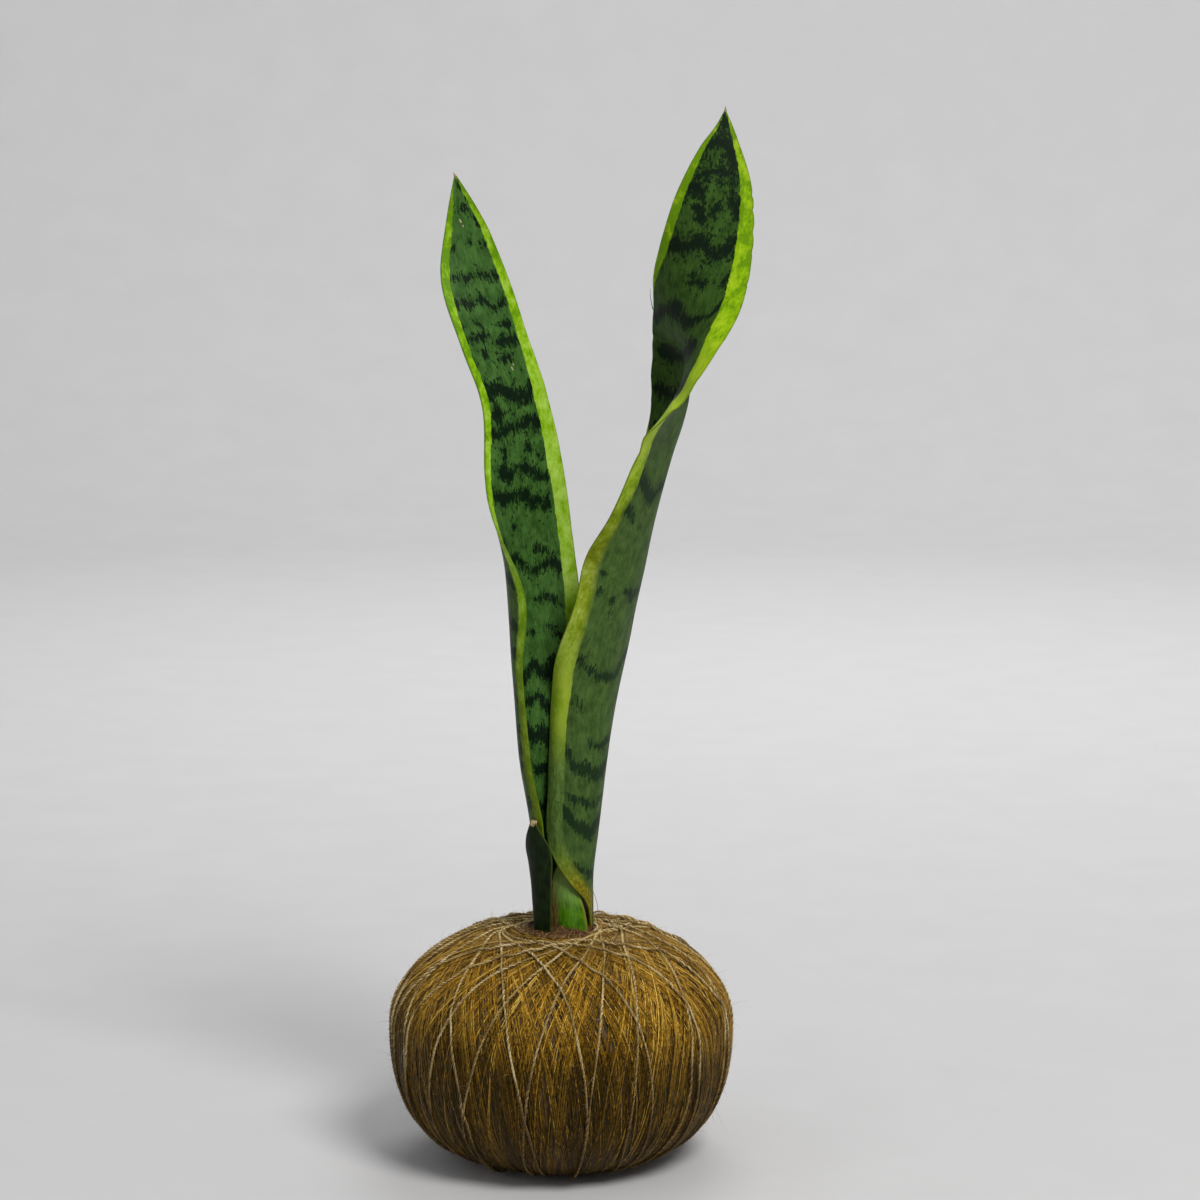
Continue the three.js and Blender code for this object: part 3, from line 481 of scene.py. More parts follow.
def band_field(bands, w, z):
    """How far inside a dark band each point is, in millimetres; negative outside."""
    out = np.full(w.shape, -12.0)
    for k, band in enumerate(bands):
        ws, zs, hs = (np.array(c, float) for c in zip(*band))
        zc = np.interp(w, ws, zs) + 1.1 * (noise(11, w * 0.45, k * 1.7) - 0.5)
        h = np.interp(w, ws, hs)
        beyond = np.maximum(np.maximum(ws[0] - w, w - ws[-1]), 0)
        out = np.maximum(out, h - np.abs(z - zc) - 1.4 * beyond)
    return out


def leaf(name, table, base_z, thick, stations, across, bands=None, margins=None, tint=None, seed=1, wave=0.35, edge_r=0.42, mottle=None, fade=None, nicks=(), rolled=None):
    """One blade with round edges. Its points carry their place on the blade as attributes."""
    tab = np.array(table, float)
    zs = tab[:, 0]
    z = np.linspace(base_z, zs[-1], stations)
    x, y, phi, wl, wr, kl, kr = (herm(zs, tab[:, k], z) for k in range(1, 8))
    wl, wr = np.maximum(wl, 0.45), np.maximum(wr, 0.45)
    wl = wl + 0.22 * (noise(seed, z * 0.16, 3.3) - 0.5) * smooth(wl, 2, 6)
    wr = wr + 0.22 * (noise(seed, z * 0.16, 7.7) - 0.5) * smooth(wr, 2, 6)
    for z_n, long, deep in nicks:
        wr = wr - deep * np.maximum(0, 1 - ((z - z_n) / long) ** 2)
    s = (z - base_z) / (zs[-1] - base_z)
    full = (thick[0] + (thick[1] - thick[0]) * s) * np.minimum(1, 0.25 + (wl + wr) / 16)
    mid = np.stack([x, y, z], -1)
    e = 0.5
    zb, za = np.minimum(z + e, zs[-1]), np.maximum(z - e, base_z)
    T = unit(np.stack([herm(zs, tab[:, 1], zb) - herm(zs, tab[:, 1], za), herm(zs, tab[:, 2], zb) - herm(zs, tab[:, 2], za), zb - za], -1))
    n0 = np.array([0.0, -1.0, 0.0])
    n0 = unit(n0 - (T @ n0)[:, None] * T)
    e0 = np.cross(T, n0)
    ph = np.radians(phi)[:, None]
    n = np.cos(ph) * n0 + np.sin(ph) * e0
    u = np.cos(ph) * e0 - np.sin(ph) * n0
    t = np.sin(np.linspace(-PI / 2, PI / 2, across))[None, :]
    W = np.where(t < 0, wl[:, None], wr[:, None])
    w = t * W
    k = np.where(t < 0, kl[:, None], kr[:, None])
    k = np.where(np.abs(k) < 1e-4, 1e-4, k)
    a, sg = np.abs(w), np.sign(w)
    side, rise = np.sin(k * a) / k * sg, (1 - np.cos(k * a)) / k
    # soft waves that grow towards the edges, and faint lengthwise ribs
    ripple = wave * np.abs(t) ** 2.5 * (noise(seed + 1, z[:, None] * 0.055, 5 + sg * 2.0) - 0.5) * 2
    ripple = ripple + 0.10 * (noise(seed + 2, w * 0.30, z[:, None] * 0.012) - 0.5) * smooth(W, 2, 8)
    ripple = ripple * smooth(z, base_z + 4, base_z + 25)[:, None]
    P = mid[:, None] + side[..., None] * u[:, None] + (rise + ripple)[..., None] * n[:, None]
    nn = np.cos(k * a)[..., None] * n[:, None] - (np.sin(k * a) * sg)[..., None] * u[:, None]
    d = (1 - np.abs(t)) * W
    re = np.minimum(edge_r, full[:, None] * 0.4)
    inside = np.maximum(d - re, 0)
    half = np.where(d < re, np.sqrt(np.maximum(re**2 - (re - np.minimum(d, re)) ** 2, 0)), re + (full[:, None] / 2 - re) * inside**2 / (inside**2 + 14))
    inner, outer = P + half[..., None] * nn, P - half[..., None] * nn
    back = slice(-2, 0, -1)
    ring = np.concatenate([inner, outer[:, back]], 1)
    ring[0, :, 2] = base_z
    m = ring.shape[1]
    both = lambda f: np.concatenate([f, f[:, back]], 1).ravel()
    zz = np.repeat(z[:, None], across, 1)
    face = np.ones_like(w)
    face[:, 0] = face[:, -1] = 0.0
    attrs = {
        "lat": both(w),
        "len": both(zz),
        "face": np.concatenate([face, -face[:, back]], 1).ravel(),
        "edge": both(d),
        "side": both(np.repeat(np.sign(t), stations, 0)),
    }
    if margins:
        mz, ml, mr = (np.array(c, float) for c in zip(*margins))
        width = np.where(t < 0, np.interp(z, mz, ml)[:, None], np.interp(z, mz, mr)[:, None])
        seen_width = width
        if rolled:
            az, av = (np.array(c, float) for c in zip(*rolled))
            seen_width = np.where(t < 0, width * np.interp(z, az, av)[:, None] - 0.6 * (1 - np.interp(z, az, av)[:, None]), width)
        attrs["mrg"] = np.concatenate([d - seen_width, (d - width)[:, back]], 1).ravel()
    if tint:
        tz, tm, tp = (np.array(c, float) for c in zip(*tint))
        attrs["must"] = both(np.repeat(np.interp(z, tz, tm)[:, None], across, 1))
        attrs["pale"] = both(np.repeat(np.interp(z, tz, tp)[:, None], across, 1))
    if bands:
        attrs["band"] = both(band_field(bands, w, zz))
    for key, rows in (("mott", mottle), ("fade", fade)):
        if rows:
            az, av = (np.array(c, float) for c in zip(*rows))
            attrs[key] = both(np.repeat(np.interp(z, az, av)[:, None], across, 1))
    ids = np.arange(stations * m).reshape(stations, m)
    nxt = np.roll(ids, -1, 1)
    quads = np.stack([ids[:-1], nxt[:-1], nxt[1:], ids[1:]], -1).reshape(-1, 4)
    # caps zip the two faces together
    caps_q, caps_t = [], []
    for row, flip in ((0, False), (stations - 1, True)):
        top = ids[row, :across]
        bot = np.concatenate([[ids[row, 0]], ids[row, across:][::-1], [ids[row, across - 1]]])
        tri = [(top[0], bot[1], top[1]), (top[-1], top[-2], bot[-2])]
        quad = [(top[i], bot[i], bot[i + 1], top[i + 1]) for i in range(1, across - 2)]
        caps_t += [c[::-1] if flip else c for c in tri]
        caps_q += [c[::-1] if flip else c for c in quad]
    return make(name, ring.reshape(-1, 3), np.concatenate([quads, np.array(caps_q)]), np.array(caps_t), attrs)


def leaf_material(name, inner, outer, dark, margin, mustard, scars=(), rough=0.46, fade_to=(srgb(74, 102, 48), srgb(104, 132, 72))):
    """Banded blade: inner and outer are (darker, lighter, hairline) greens, margin is (spots, middle, pale, rim)."""
    M = Mat(name)
    lat, ln, face, edge = M.attr("lat"), M.attr("len"), M.attr("face"), M.attr("edge")
    mrg, must, pale, band, mott = M.attr("mrg"), M.attr("must"), M.attr("pale"), M.attr("band"), M.attr("mott")
    f9 = M.mul(face, 9.0)
    streak = M.noise(M.vec(M.mul(lat, 0.72), M.mul(ln, 0.15), f9), 1.0, 3.0, 0.62)
    fringe = M.noise(M.vec(M.mul(lat, 1.8), M.mul(ln, 0.26), M.add(f9, 30.0)), 1.0, 3.0, 0.62)
    fine = M.noise(M.vec(M.mul(lat, 3.4), M.mul(ln, 0.7), M.add(f9, 50.0)), 1.0, 2.0, 0.5)
    blot = M.noise(M.vec(M.mul(lat, 0.22), M.mul(ln, 0.15), M.add(f9, 70.0)), 1.0, 4.0, 0.55)
    fleck = M.noise(M.vec(M.mul(lat, 1.10), M.mul(ln, 0.42), M.add(f9, 130.0)), 1.0, 4.0, 0.70)
    patch = M.noise(M.vec(M.mul(lat, 0.34), M.mul(ln, 0.30), M.add(f9, 170.0)), 1.0, 4.0, 0.65)
    m = M.add(band, M.mul(M.add(streak, -0.5), 13.0), M.mul(M.add(fringe, -0.5), 9.5), M.mul(M.add(blot, -0.52), 4.5))
    mask = M.step(m, -0.35, 0.45)
    # loose dark flecks and patches between the bands, where the blade is mottled
    close = M.mul(M.math("MAXIMUM", band, -6.0), 0.011)
    loose = M.add(M.mul(fleck, 0.50), M.mul(patch, 0.50), M.mul(mott, 0.115), close)
    mask = M.math("MAXIMUM", mask, M.step(loose, 0.555, 0.595, 0.0, 0.95))
    out_f = M.step(face, 0.25, -0.25)
    tone = M.step(M.add(M.mul(blot, 0.6), M.mul(streak, 0.4)), 0.36, 0.64)
    green = M.mix(out_f, M.mix(tone, inner[0], inner[1]), M.mix(tone, outer[0], outer[1]))
    # lengthwise hairlines, lighter and darker
    green = M.mix(M.step(fringe, 0.56, 0.76, 0.0, 0.55), green, M.mix(out_f, inner[2], outer[2]))
    green = M.mix(M.step(fine, 0.58, 0.76, 0.0, 0.45), green, dark[0])
    deep = M.mix(out_f, dark[0], dark[1])
    green = M.mix(mask, green, M.mix(M.step(fringe, 0.50, 0.76, 0.0, 0.40), deep, inner[0]))
    # margin
    along = M.noise(M.vec(M.mul(lat, 0.20), M.mul(ln, 0.13), 90.0), 1.0, 4.0, 0.62)
    spots = M.noise(M.vec(M.mul(lat, 0.9), M.mul(ln, 0.5), 110.0), 1.0, 3.0, 0.6)
    shade = M.step(M.attr("side"), -0.2, 0.2, -0.07, 0.0)
    g = M.add(M.mul(along, 0.75), M.mul(M.add(spots, -0.5), 0.30), M.mul(pale, 0.24), 0.06, shade)
    lime = M.ramp(g, [(0.38, margin[0]), (0.48, margin[1]), (0.66, margin[2])])
    mus = M.ramp(M.add(M.mul(along, 0.7), M.mul(M.add(spots, -0.5), 0.3), M.mul(pale, 0.26), 0.08), [(0.30, mustard[0]), (0.46, mustard[1]), (0.72, mustard[2])])
    rim = M.mix(must, lime, mus)
    rim = M.mix(M.step(M.add(ln, M.mul(M.add(streak, -0.5), 10.0)), 140.0, 120.0, 0.0, 0.75), rim, M.mix(M.step(spots, 0.38, 0.62), srgb(92, 76, 14), srgb(142, 128, 30)))
    rim = M.mix(M.step(spots, 0.64, 0.74, 0.0, 0.5), rim, margin[0])
    rim = M.mix(M.step(edge, 0.75, 0.10, 0.0, 0.6), rim, margin[3])
    jag = M.add(mrg, M.mul(M.add(streak, -0.5), 1.8), M.mul(M.add(fringe, -0.5), 1.4))
    hard, soft = M.step(jag, -0.18, 0.22), M.step(jag, -3.4, 0.8)
    where = M.add(M.mul(hard, M.math("SUBTRACT", 1.0, must)), M.mul(soft, must))
    faint = M.mix(M.step(M.add(M.mul(fleck, 0.5), M.mul(patch, 0.5), M.mul(mask, 0.05)), 0.53, 0.60, 0.0, 0.7), M.mix(M.step(streak, 0.40, 0.62), fade_to[0], fade_to[1]), outer[0])
    rim = M.mix(M.attr("fade"), rim, faint)
    col = M.mix(where, rim, green)
    for w0, z0, long, half in scars:
        dx = M.mul(M.add(lat, -w0, M.mul(M.add(ln, -z0), 0.25)), 1 / half)
        dz = M.mul(M.add(ln, -z0), 1 / long)
        far = M.add(M.mul(dx, dx), M.mul(dz, dz), M.mul(M.add(fine, -0.5), 1.6))
        col = M.mix(M.mul(M.step(far, 1.3, 0.7, 0.0, 0.75), M.step(face, 0.2, 0.6)), col, srgb(178, 172, 140))
    M.set(Base_Color=col)
    M.set(Roughness=M.add(rough, M.mul(M.add(fine, -0.5), 0.20)))
    ribs = M.noise(M.vec(M.mul(lat, 1.5), M.mul(ln, 0.03), f9), 1.0, 2.0, 0.5)
    M.set(Normal=M.bump(M.add(M.mul(ribs, 0.7), M.mul(fine, 0.3)), 0.35, 0.10))
    M.bsdf.inputs["Specular IOR Level"].default_value = 0.20
    M.bsdf.inputs["IOR"].default_value = 1.3
    return M


GREEN_IN = (srgb(44, 76, 28), srgb(68, 106, 46), srgb(98, 138, 74))
GREEN_IN_RIGHT = (srgb(38, 62, 18), srgb(58, 88, 30), srgb(84, 118, 50))
GREEN_OUT = (srgb(48, 71, 28), srgb(72, 98, 45), srgb(94, 123, 64))
DARK = (srgb(10, 26, 13), srgb(24, 44, 22))
LIME = (srgb(92, 136, 8), srgb(128, 172, 14), srgb(166, 202, 84), srgb(74, 100, 14))
LIME_RIGHT = (srgb(98, 140, 6), srgb(134, 175, 8), srgb(172, 200, 36), srgb(78, 102, 12))
MUSTARD = (srgb(84, 90, 8), srgb(112, 124, 18), srgb(160, 174, 92))

# how mottled with dark flecks each blade is: (height, amount)
MOTT_LEFT = [(100, 0.1), (170, 0.35), (200, 0.4), (240, 0.2), (262, 0.3), (285, 0.5), (320, 0.55), (350, 0.45), (380, 0.2), (410, 0.3), (437, 0.1)]
MOTT_RIGHT = [(100, 0.0), (150, 0.1), (200, 0.0), (235, 0.1), (290, 0.0), (312, 0.2), (330, 0.35), (372, 0.35), (384, 0.2), (394, 0.6), (412, 0.7), (430, 0.85), (452, 0.95), (466, 0.8)]
# where the right blade's margin fades into green: (height, amount)
FADE_RIGHT = [(100, 0), (126, 0), (136, 0.4), (145, 0.92), (176, 0.9), (187, 0.5), (196, 0.12), (208, 0)]
# small pale scratches on the left blade: (distance from the midrib, height, half length, half width)
SCARS_LEFT = [(-1.4, 418.4, 0.9, 0.4), (-0.7, 416.2, 0.5, 0.25), (3.4, 352.8, 1.0, 0.28), (4.6, 354.3, 0.6, 0.22)]

leaf_mat = leaf_material("leaf_banded", GREEN_IN, GREEN_OUT, DARK, LIME, MUSTARD, SCARS_LEFT)
ob = leaf("leaf_left", LEAF_TALL_LEFT, 101.3, (3.4, 1.7), 290, 53, BANDS_LEFT, MARGIN_LEFT, TINT_LEFT, seed=21, mottle=MOTT_LEFT)
dress(ob, leaf_mat, "leaf_banded", "leaf_tall_left")
leaf_mat = leaf_material("leaf_banded_nicked", GREEN_IN_RIGHT, GREEN_OUT, DARK, LIME_RIGHT, MUSTARD, rough=0.54)
ob = leaf("leaf_right", LEAF_TALL_RIGHT, 101.3, (3.4, 1.7), 310, 53, BANDS_RIGHT, MARGIN_RIGHT, TINT_RIGHT, seed=31, wave=0.25, mottle=MOTT_RIGHT, fade=FADE_RIGHT, rolled=ROLLED_RIGHT, nicks=[(417.0, 2.2, 0.55), (425.5, 1.4, 0.6), (431.5, 1.2, 0.5), (409.5, 1.5, 0.35), (397.5, 1.2, 0.35)])
dress(ob, leaf_mat, "leaf_banded", "leaf_tall_right")


# the dried points of both tall blades
def dry_point(name, base, axis, length, radius, node):
    s = np.linspace(0, 1, 9)
    axis = np.array(axis, float) / np.linalg.norm(axis)
    side = np.array([0.35, 0.0, -0.1])
    c = np.array(base, float)[None] + length * s[:, None] * axis[None] + 0.35 * np.sin(PI * s)[:, None] * side[None]
    r = radius * np.sqrt(np.maximum(1 - s, 0.02)) * (1 + 0.25 * (noise(7, s * 5.0, length) - 0.5))
    n = np.repeat(np.array([[0.0, -1.0, 0.1]]), 9, 0)
    V, q, t = tubes(c[None], n[None], r[None], 7, squash=0.6)
    return make(name, V, q, t, {"tone": np.repeat(0.35 + 0.6 * s, 7)}), node


tip_mat = Mat("dry_point")
tip_mat.set(Base_Color=tip_mat.ramp(tip_mat.attr("tone"), [(0.35, srgb(48, 54, 24)), (0.55, srgb(120, 96, 62)), (0.95, srgb(176, 158, 124))]), Roughness=0.8)
# a dark fibre that has split off the right blade's left edge
s = np.linspace(0, 1, 10)
Pf = np.stack([40.85 - 1.5 * np.sin(PI * 0.5 * s) + 0.3 * s**3, 17.4 - 2.4 * s, 379.0 + 9.5 * s], -1)[None]
Nf = np.zeros_like(Pf)
Nf[..., 1] = -1
V, q, t = tubes(Pf, Nf, 0.20 * (1 - 0.7 * s)[None], 5)
dress(make("leaf_right_split_fibre", V, q, t, {"tone": np.full(len(V), 0.35)}), tip_mat, "rhizome_bark", "leaf_tall_right")

for made in (
    dry_point("leaf_left_dry_point", (-45.25, 4.86, 435.9), (-0.30, 0.0, 0.95), 3.6, 0.75, "leaf_tall_left"),
    dry_point("leaf_right_dry_point", (71.5, -0.13, 463.6), (0.05, 0.0, 1.0), 4.2, 0.8, "leaf_tall_right"),
):
    dress(made[0], tip_mat, "rhizome_bark", made[1])


def plain_leaf_material(name, low, high, line, tip, z_tip, rough, blend=(1.2, 0.6)):
    """Unbanded small leaf: low and high greens, a thin edge line and another colour above z_tip, which on the stub is a
    dry tip and on the sheath a pale top that is partly painted light.
    """
    M = Mat(name)
    lat, ln, face, edge, side = M.attr("lat"), M.attr("len"), M.attr("face"), M.attr("edge"), M.attr("side")
    f9 = M.mul(face, 9.0)
    streak = M.noise(M.vec(M.mul(lat, 1.5), M.mul(ln, 0.16), f9), 1.0, 3.0, 0.6)
    blot = M.noise(M.vec(M.mul(lat, 0.35), M.mul(ln, 0.2), M.add(f9, 20.0)), 1.0, 3.0, 0.55)
    fine = M.noise(M.vec(M.mul(lat, 4.0), M.mul(ln, 1.2), M.add(f9, 40.0)), 1.0, 2.0, 0.5)
    green = M.mix(M.step(M.add(M.mul(blot, 0.55), M.mul(streak, 0.45)), 0.34, 0.66), low, high)
    edge_col = M.mix(M.step(side, -0.2, 0.2), line[0], line[1])
    green = M.mix(M.step(M.add(edge, M.mul(M.add(streak, -0.5), 0.5)), line[2], 0.25, 0.0, 1.0), green, edge_col)
    green = M.mix(M.step(M.add(ln, M.mul(M.add(streak, -0.5), 5.0)), z_tip - blend[0], z_tip + blend[1]), green, tip)
    M.set(Base_Color=green, Roughness=M.add(rough, M.mul(M.add(fine, -0.5), 0.2)))
    M.set(Normal=M.bump(M.add(M.mul(streak, 0.6), M.mul(fine, 0.4)), 0.4, 0.10))
    M.bsdf.inputs["Specular IOR Level"].default_value = 0.25
    M.bsdf.inputs["IOR"].default_value = 1.3
    return M


short_mat = plain_leaf_material("leaf_dark", srgb(5, 14, 2), srgb(23, 41, 9), (srgb(54, 66, 22), srgb(84, 78, 26), 0.9), srgb(150, 132, 88), 155.0, 0.46)
ob = leaf("leaf_stub", LEAF_SHORT, 101.3, (2.2, 1.3), 110, 33, seed=41, wave=0.15, edge_r=0.36)
dress(ob, short_mat, "leaf_dark", "leaf_short")

# the dry, cut-off looking tip of the stub: a small papery tube
tip = Merge()
a = np.linspace(0, 2 * PI, 20, endpoint=False)
rings = []
for r, h in [(1.15, 0.0), (1.35, 0.9), (1.42, 1.9), (1.36, 2.7), (1.16, 2.75), (1.05, 2.0), (0.95, 1.2)]:
    wob = 1 + 0.10 * (noise(5, a * 1.3, h) - 0.5)
    rings.append(np.stack([r * wob * np.cos(a), 0.8 * r * wob * np.sin(a), np.full_like(a, h) + 0.25 * np.cos(a - 0.6) * (h / 2.7)], -1))
V = np.concatenate(rings)
lean = np.array([[0.92, 0.0, 0.34], [0.0, 1.0, 0.05], [-0.34, -0.05, 0.94]])
V = V @ lean.T + np.array([-12.35, -16.3, 153.4])
n_a = len(a)
ids = np.arange(len(V)).reshape(-1, n_a)
nxt = np.roll(ids, -1, 1)
q = np.stack([ids[:-1], nxt[:-1], nxt[1:], ids[1:]], -1).reshape(-1, 4)
c0, c1 = len(V), len(V) + 1
V = np.concatenate([V, [V[:n_a].mean(0)], [V[-n_a:].mean(0)]])
t = np.concatenate([np.stack([np.full(n_a, c0), nxt[0], ids[0]], -1), np.stack([np.full(n_a, c1), ids[-1], nxt[-1]], -1)])
tip.add(V, q, t)
husk_mat = Mat("dry_husk")
p = husk_mat.position()
sp = husk_mat.nt.nodes.new("ShaderNodeSeparateXYZ")
husk_mat.nt.links.new(p, sp.inputs[0])
hv = husk_mat.vec(husk_mat.mul(sp.outputs[0], 2.4), husk_mat.mul(sp.outputs[1], 2.4), husk_mat.mul(sp.outputs[2], 0.5))
hn = husk_mat.noise(hv, 1.0, 3.0, 0.6)
husk_mat.set(Base_Color=husk_mat.ramp(hn, [(0.3, srgb(96, 74, 48)), (0.5, srgb(160, 138, 98)), (0.7, srgb(205, 188, 150))]), Roughness=0.75, Normal=husk_mat.bump(hn, 0.5, 0.15))
ob = tip.make("leaf_stub_dry_tip")
dress(ob, husk_mat, "rhizome_bark", "leaf_short")

# The sheath's top colour is a pale green made lighter than the leaf is: painted light where the sheath lies in the
# shade of the stub and of the right blade's margin.
sheath_mat = plain_leaf_material("leaf_bright", srgb(42, 80, 3), srgb(78, 124, 12), (srgb(120, 118, 36), srgb(112, 116, 30), 2.0), srgb(128, 160, 84), 119.0, 0.42, (7.0, 9.0))
ob = leaf("leaf_sheath_blade", LEAF_SHEATH, 101.3, (2.0, 1.2), 80, 33, seed=51, wave=0.15, edge_r=0.34)
dress(ob, sheath_mat, "leaf_bright", "leaf_sheath")

# ------------------------------------------------------------------ the ball
BALL_R, EQ_Z, TOP_SEMI, BOTTOM_SEMI, DIMPLE, OPENING = 76.2, 62.5, 44.8, 64.0, 5.0, 22.3


def top_z(r, d=0.0):
    return EQ_Z + (TOP_SEMI - d) * np.maximum(0, 1 - (r / (BALL_R - d)) ** 2.04) ** (1 / 1.99) - DIMPLE * np.maximum(0, 1 - (r - 20) / 20) ** 2


def bottom_z(r, d=0.0):
    return EQ_Z - (BOTTOM_SEMI - d) * np.maximum(0, 1 - (r / (BALL_R - d)) ** 2.94) ** (1 / 2.68)


class Meridian:
    """The wound surface's section by arc length from radius 20, from the collar down and under to near the axis."""

    def __init__(self):
        up = np.arcsin(20.0 / BALL_R)
        r = BALL_R * np.sin(np.linspace(up, PI / 2, 700))
        down = BALL_R * np.sin(np.linspace(PI / 2, np.arcsin(14.0 / BALL_R), 900))[1:]
        collar = np.linspace(13.5, 20.0, 40)[:-1]
        R = np.concatenate([collar, r, down])
        Z = np.concatenate([np.full(len(collar), 102.6), np.where(r < 29, np.maximum(top_z(r), 102.5), top_z(r)), np.maximum(bottom_z(down), 0.0)])
        k = np.ones(15) / 15
        Zs = np.convolve(np.pad(Z, 7, mode="edge"), k, "valid")
        Z = np.where((R < 60) & (Z < 20), Zs, Z)
        m = np.concatenate([[0], np.cumsum(np.hypot(np.diff(R), np.diff(Z)))])
        m = m - np.interp(20.0, R[: len(collar) + 300], m[: len(collar) + 300])
        q = np.linspace(m[0], m[-1], 1240)
        self.m, self.r, self.z = q, np.interp(q, m, R), np.interp(q, m, Z)
        dr, dz = np.gradient(self.r, q), np.gradient(self.z, q)
        n = np.hypot(dr, dz)
        self.nr, self.nz = -dz / n, dr / n
        self.top = int(np.argmax(self.r))
        self.eq = q[self.top]

    def at(self, m):
        return tuple(np.interp(m, self.m, f) for f in (self.r, self.z, self.nr, self.nz))

    def ring(self, r):
        """Arc length of the upper ring of radius r."""
        return np.interp(r, self.r[: self.top], self.m[: self.top])

    def place(self, m, theta, h):
        """Points at azimuth theta (0 = front, + = right), raised h off the surface, and the normals there."""
        r, z, nr, nz = self.at(m)
        c, s = np.cos(theta), np.sin(theta)
        N = np.stack([nr * s, -nr * c, nz], -1)
        return np.stack([r * s, -r * c, z], -1) + np.asarray(h)[..., None] * N, N


MER = Meridian()
LOW_SLANT = 0.34  # how much of the slant is left below the widest section


def fall(c, low, n_fine=420):
    """Arc length and azimuth of strands that leave rings of radius c and end at arc length low; azimuth is 0 at the widest section."""
    c, low = np.atleast_1d(np.asarray(c, float)), np.atleast_1d(np.asarray(low, float))
    mt = MER.ring(c)
    u = np.linspace(0, PI / 2, n_fine)
    m = mt[:, None] + (low - mt)[:, None] * (1 - np.cos(u))[None]
    mm = (m[:, 1:] + m[:, :-1]) / 2
    r = np.where(mm > MER.eq, BALL_R, np.interp(mm, MER.m, MER.r))
    sp = np.minimum(c[:, None] / r, 0.9995)
    keep = 1 - (1 - LOW_SLANT) * smooth(mm, MER.eq - 22, MER.eq + 18)
    d = keep * sp / np.sqrt(1 - sp * sp) / r * np.diff(m, axis=1)
    th = np.concatenate([np.zeros((len(c), 1)), np.cumsum(d, 1)], 1)
    at_eq = np.array([np.interp(MER.eq, m[i], th[i]) for i in range(len(c))])
    return m, th - at_eq[:, None]


# how far the leaves reach from the axis in each direction, near the soil
foot = []
for part in ("leaf_left", "leaf_right", "leaf_stub", "leaf_sheath_blade"):
    co = np.empty(len(bpy.data.objects[part].data.vertices) * 3, np.float32)
    bpy.data.objects[part].data.vertices.foreach_get("co", co)
    co = co.reshape(-1, 3) * 1000
    foot.append(co[(co[:, 2] > 101) & (co[:, 2] < 107), :2])
foot = np.concatenate(foot)
az = np.radians(np.arange(360))
reach = (foot @ np.stack([np.sin(az), -np.cos(az)])).max(0)
reach = np.stack([np.roll(reach, k) for k in range(-34, 35)]).max(0)
RING_MIN = np.maximum(reach + 0.9, 15.6)
RING_MIN = np.maximum(RING_MIN, 15.6 + 5.2 * smooth(np.cos(az), 0.35, 0.75))


def ring_min(theta):
    return np.interp(np.degrees(theta) % 360, np.arange(361), np.append(RING_MIN, RING_MIN[0]))


# dense under-layer of the winding, closed, open at the top
def lathe(profile, segments, wobble=None):
    prof = np.array(profile, float)
    th = np.linspace(0, 2 * PI, segments, endpoint=False)
    R = np.repeat(prof[:, None, 0], segments, 1)
    Z = np.repeat(prof[:, None, 1], segments, 1)
    if wobble is not None:
        R, Z = wobble(R, Z, th[None, :])
    V = np.stack([R * np.sin(th), -R * np.cos(th), Z], -1)
    on_axis = prof[:, 0] < 1e-6
    ids, pts, n = [], [], 0
    for k in range(len(prof)):
        if on_axis[k]:
            pts.append(V[k, :1])
            ids.append(np.full(segments, n))
            n += 1
        else:
            pts.append(V[k])
            ids.append(np.arange(n, n + segments))
            n += segments
    quads, tris = [], []
    closed = not (on_axis[0] and on_axis[-1])
    rows = list(range(len(prof) - 1)) + ([len(prof) - 1] if closed else [])
    for k in rows:
        a, b = ids[k], ids[(k + 1) % len(prof)]
        a2, b2 = np.roll(a, -1), np.roll(b, -1)
        if on_axis[k]:
            tris.append(np.stack([a, b2, b], -1))
        elif on_axis[(k + 1) % len(prof)]:
            tris.append(np.stack([a, a2, b], -1))
        else:
            quads.append(np.stack([a, a2, b2, b], -1))
    return np.concatenate(pts), np.concatenate(quads), (np.concatenate(tris) if tris else None)


UNDER = 0.62
m_q = np.linspace(MER.ring(OPENING + 0.6), MER.m[-1] - 0.01, 120)
r_q, z_q, nr_q, nz_q = MER.at(m_q)
outer = np.stack([r_q - nr_q * UNDER, np.maximum(z_q - nz_q * UNDER, 0.35)], -1)
d_in = 5.9
inner_r = np.sin(np.linspace(np.arcsin(10.0 / (BALL_R - d_in)), PI / 2, 24)) * (BALL_R - d_in)
inner_low = np.stack([inner_r, np.maximum(bottom_z(inner_r, d_in), 6.2)], -1)
top_r = np.sin(np.linspace(PI / 2, np.arcsin((OPENING + 0.1) / (BALL_R - d_in)), 24))[1:] * (BALL_R - d_in)
inner_top = np.stack([top_r, top_z(top_r, d_in)], -1)
profile = np.concatenate([[[0.0, 6.2]], inner_low, inner_top, [[OPENING + 0.1, 98.0], [OPENING + 0.1, 99.6], [OPENING + 0.25, 100.5]], outer, [[0.0, 0.35]]])


def shell_wobble(R, Z, th):
    k = noise(61, Z * 0.10, th * 32 / (2 * PI) * 3) - 0.5
    return R + 0.30 * k, Z


V, q, t = lathe(profile, 160, shell_wobble)
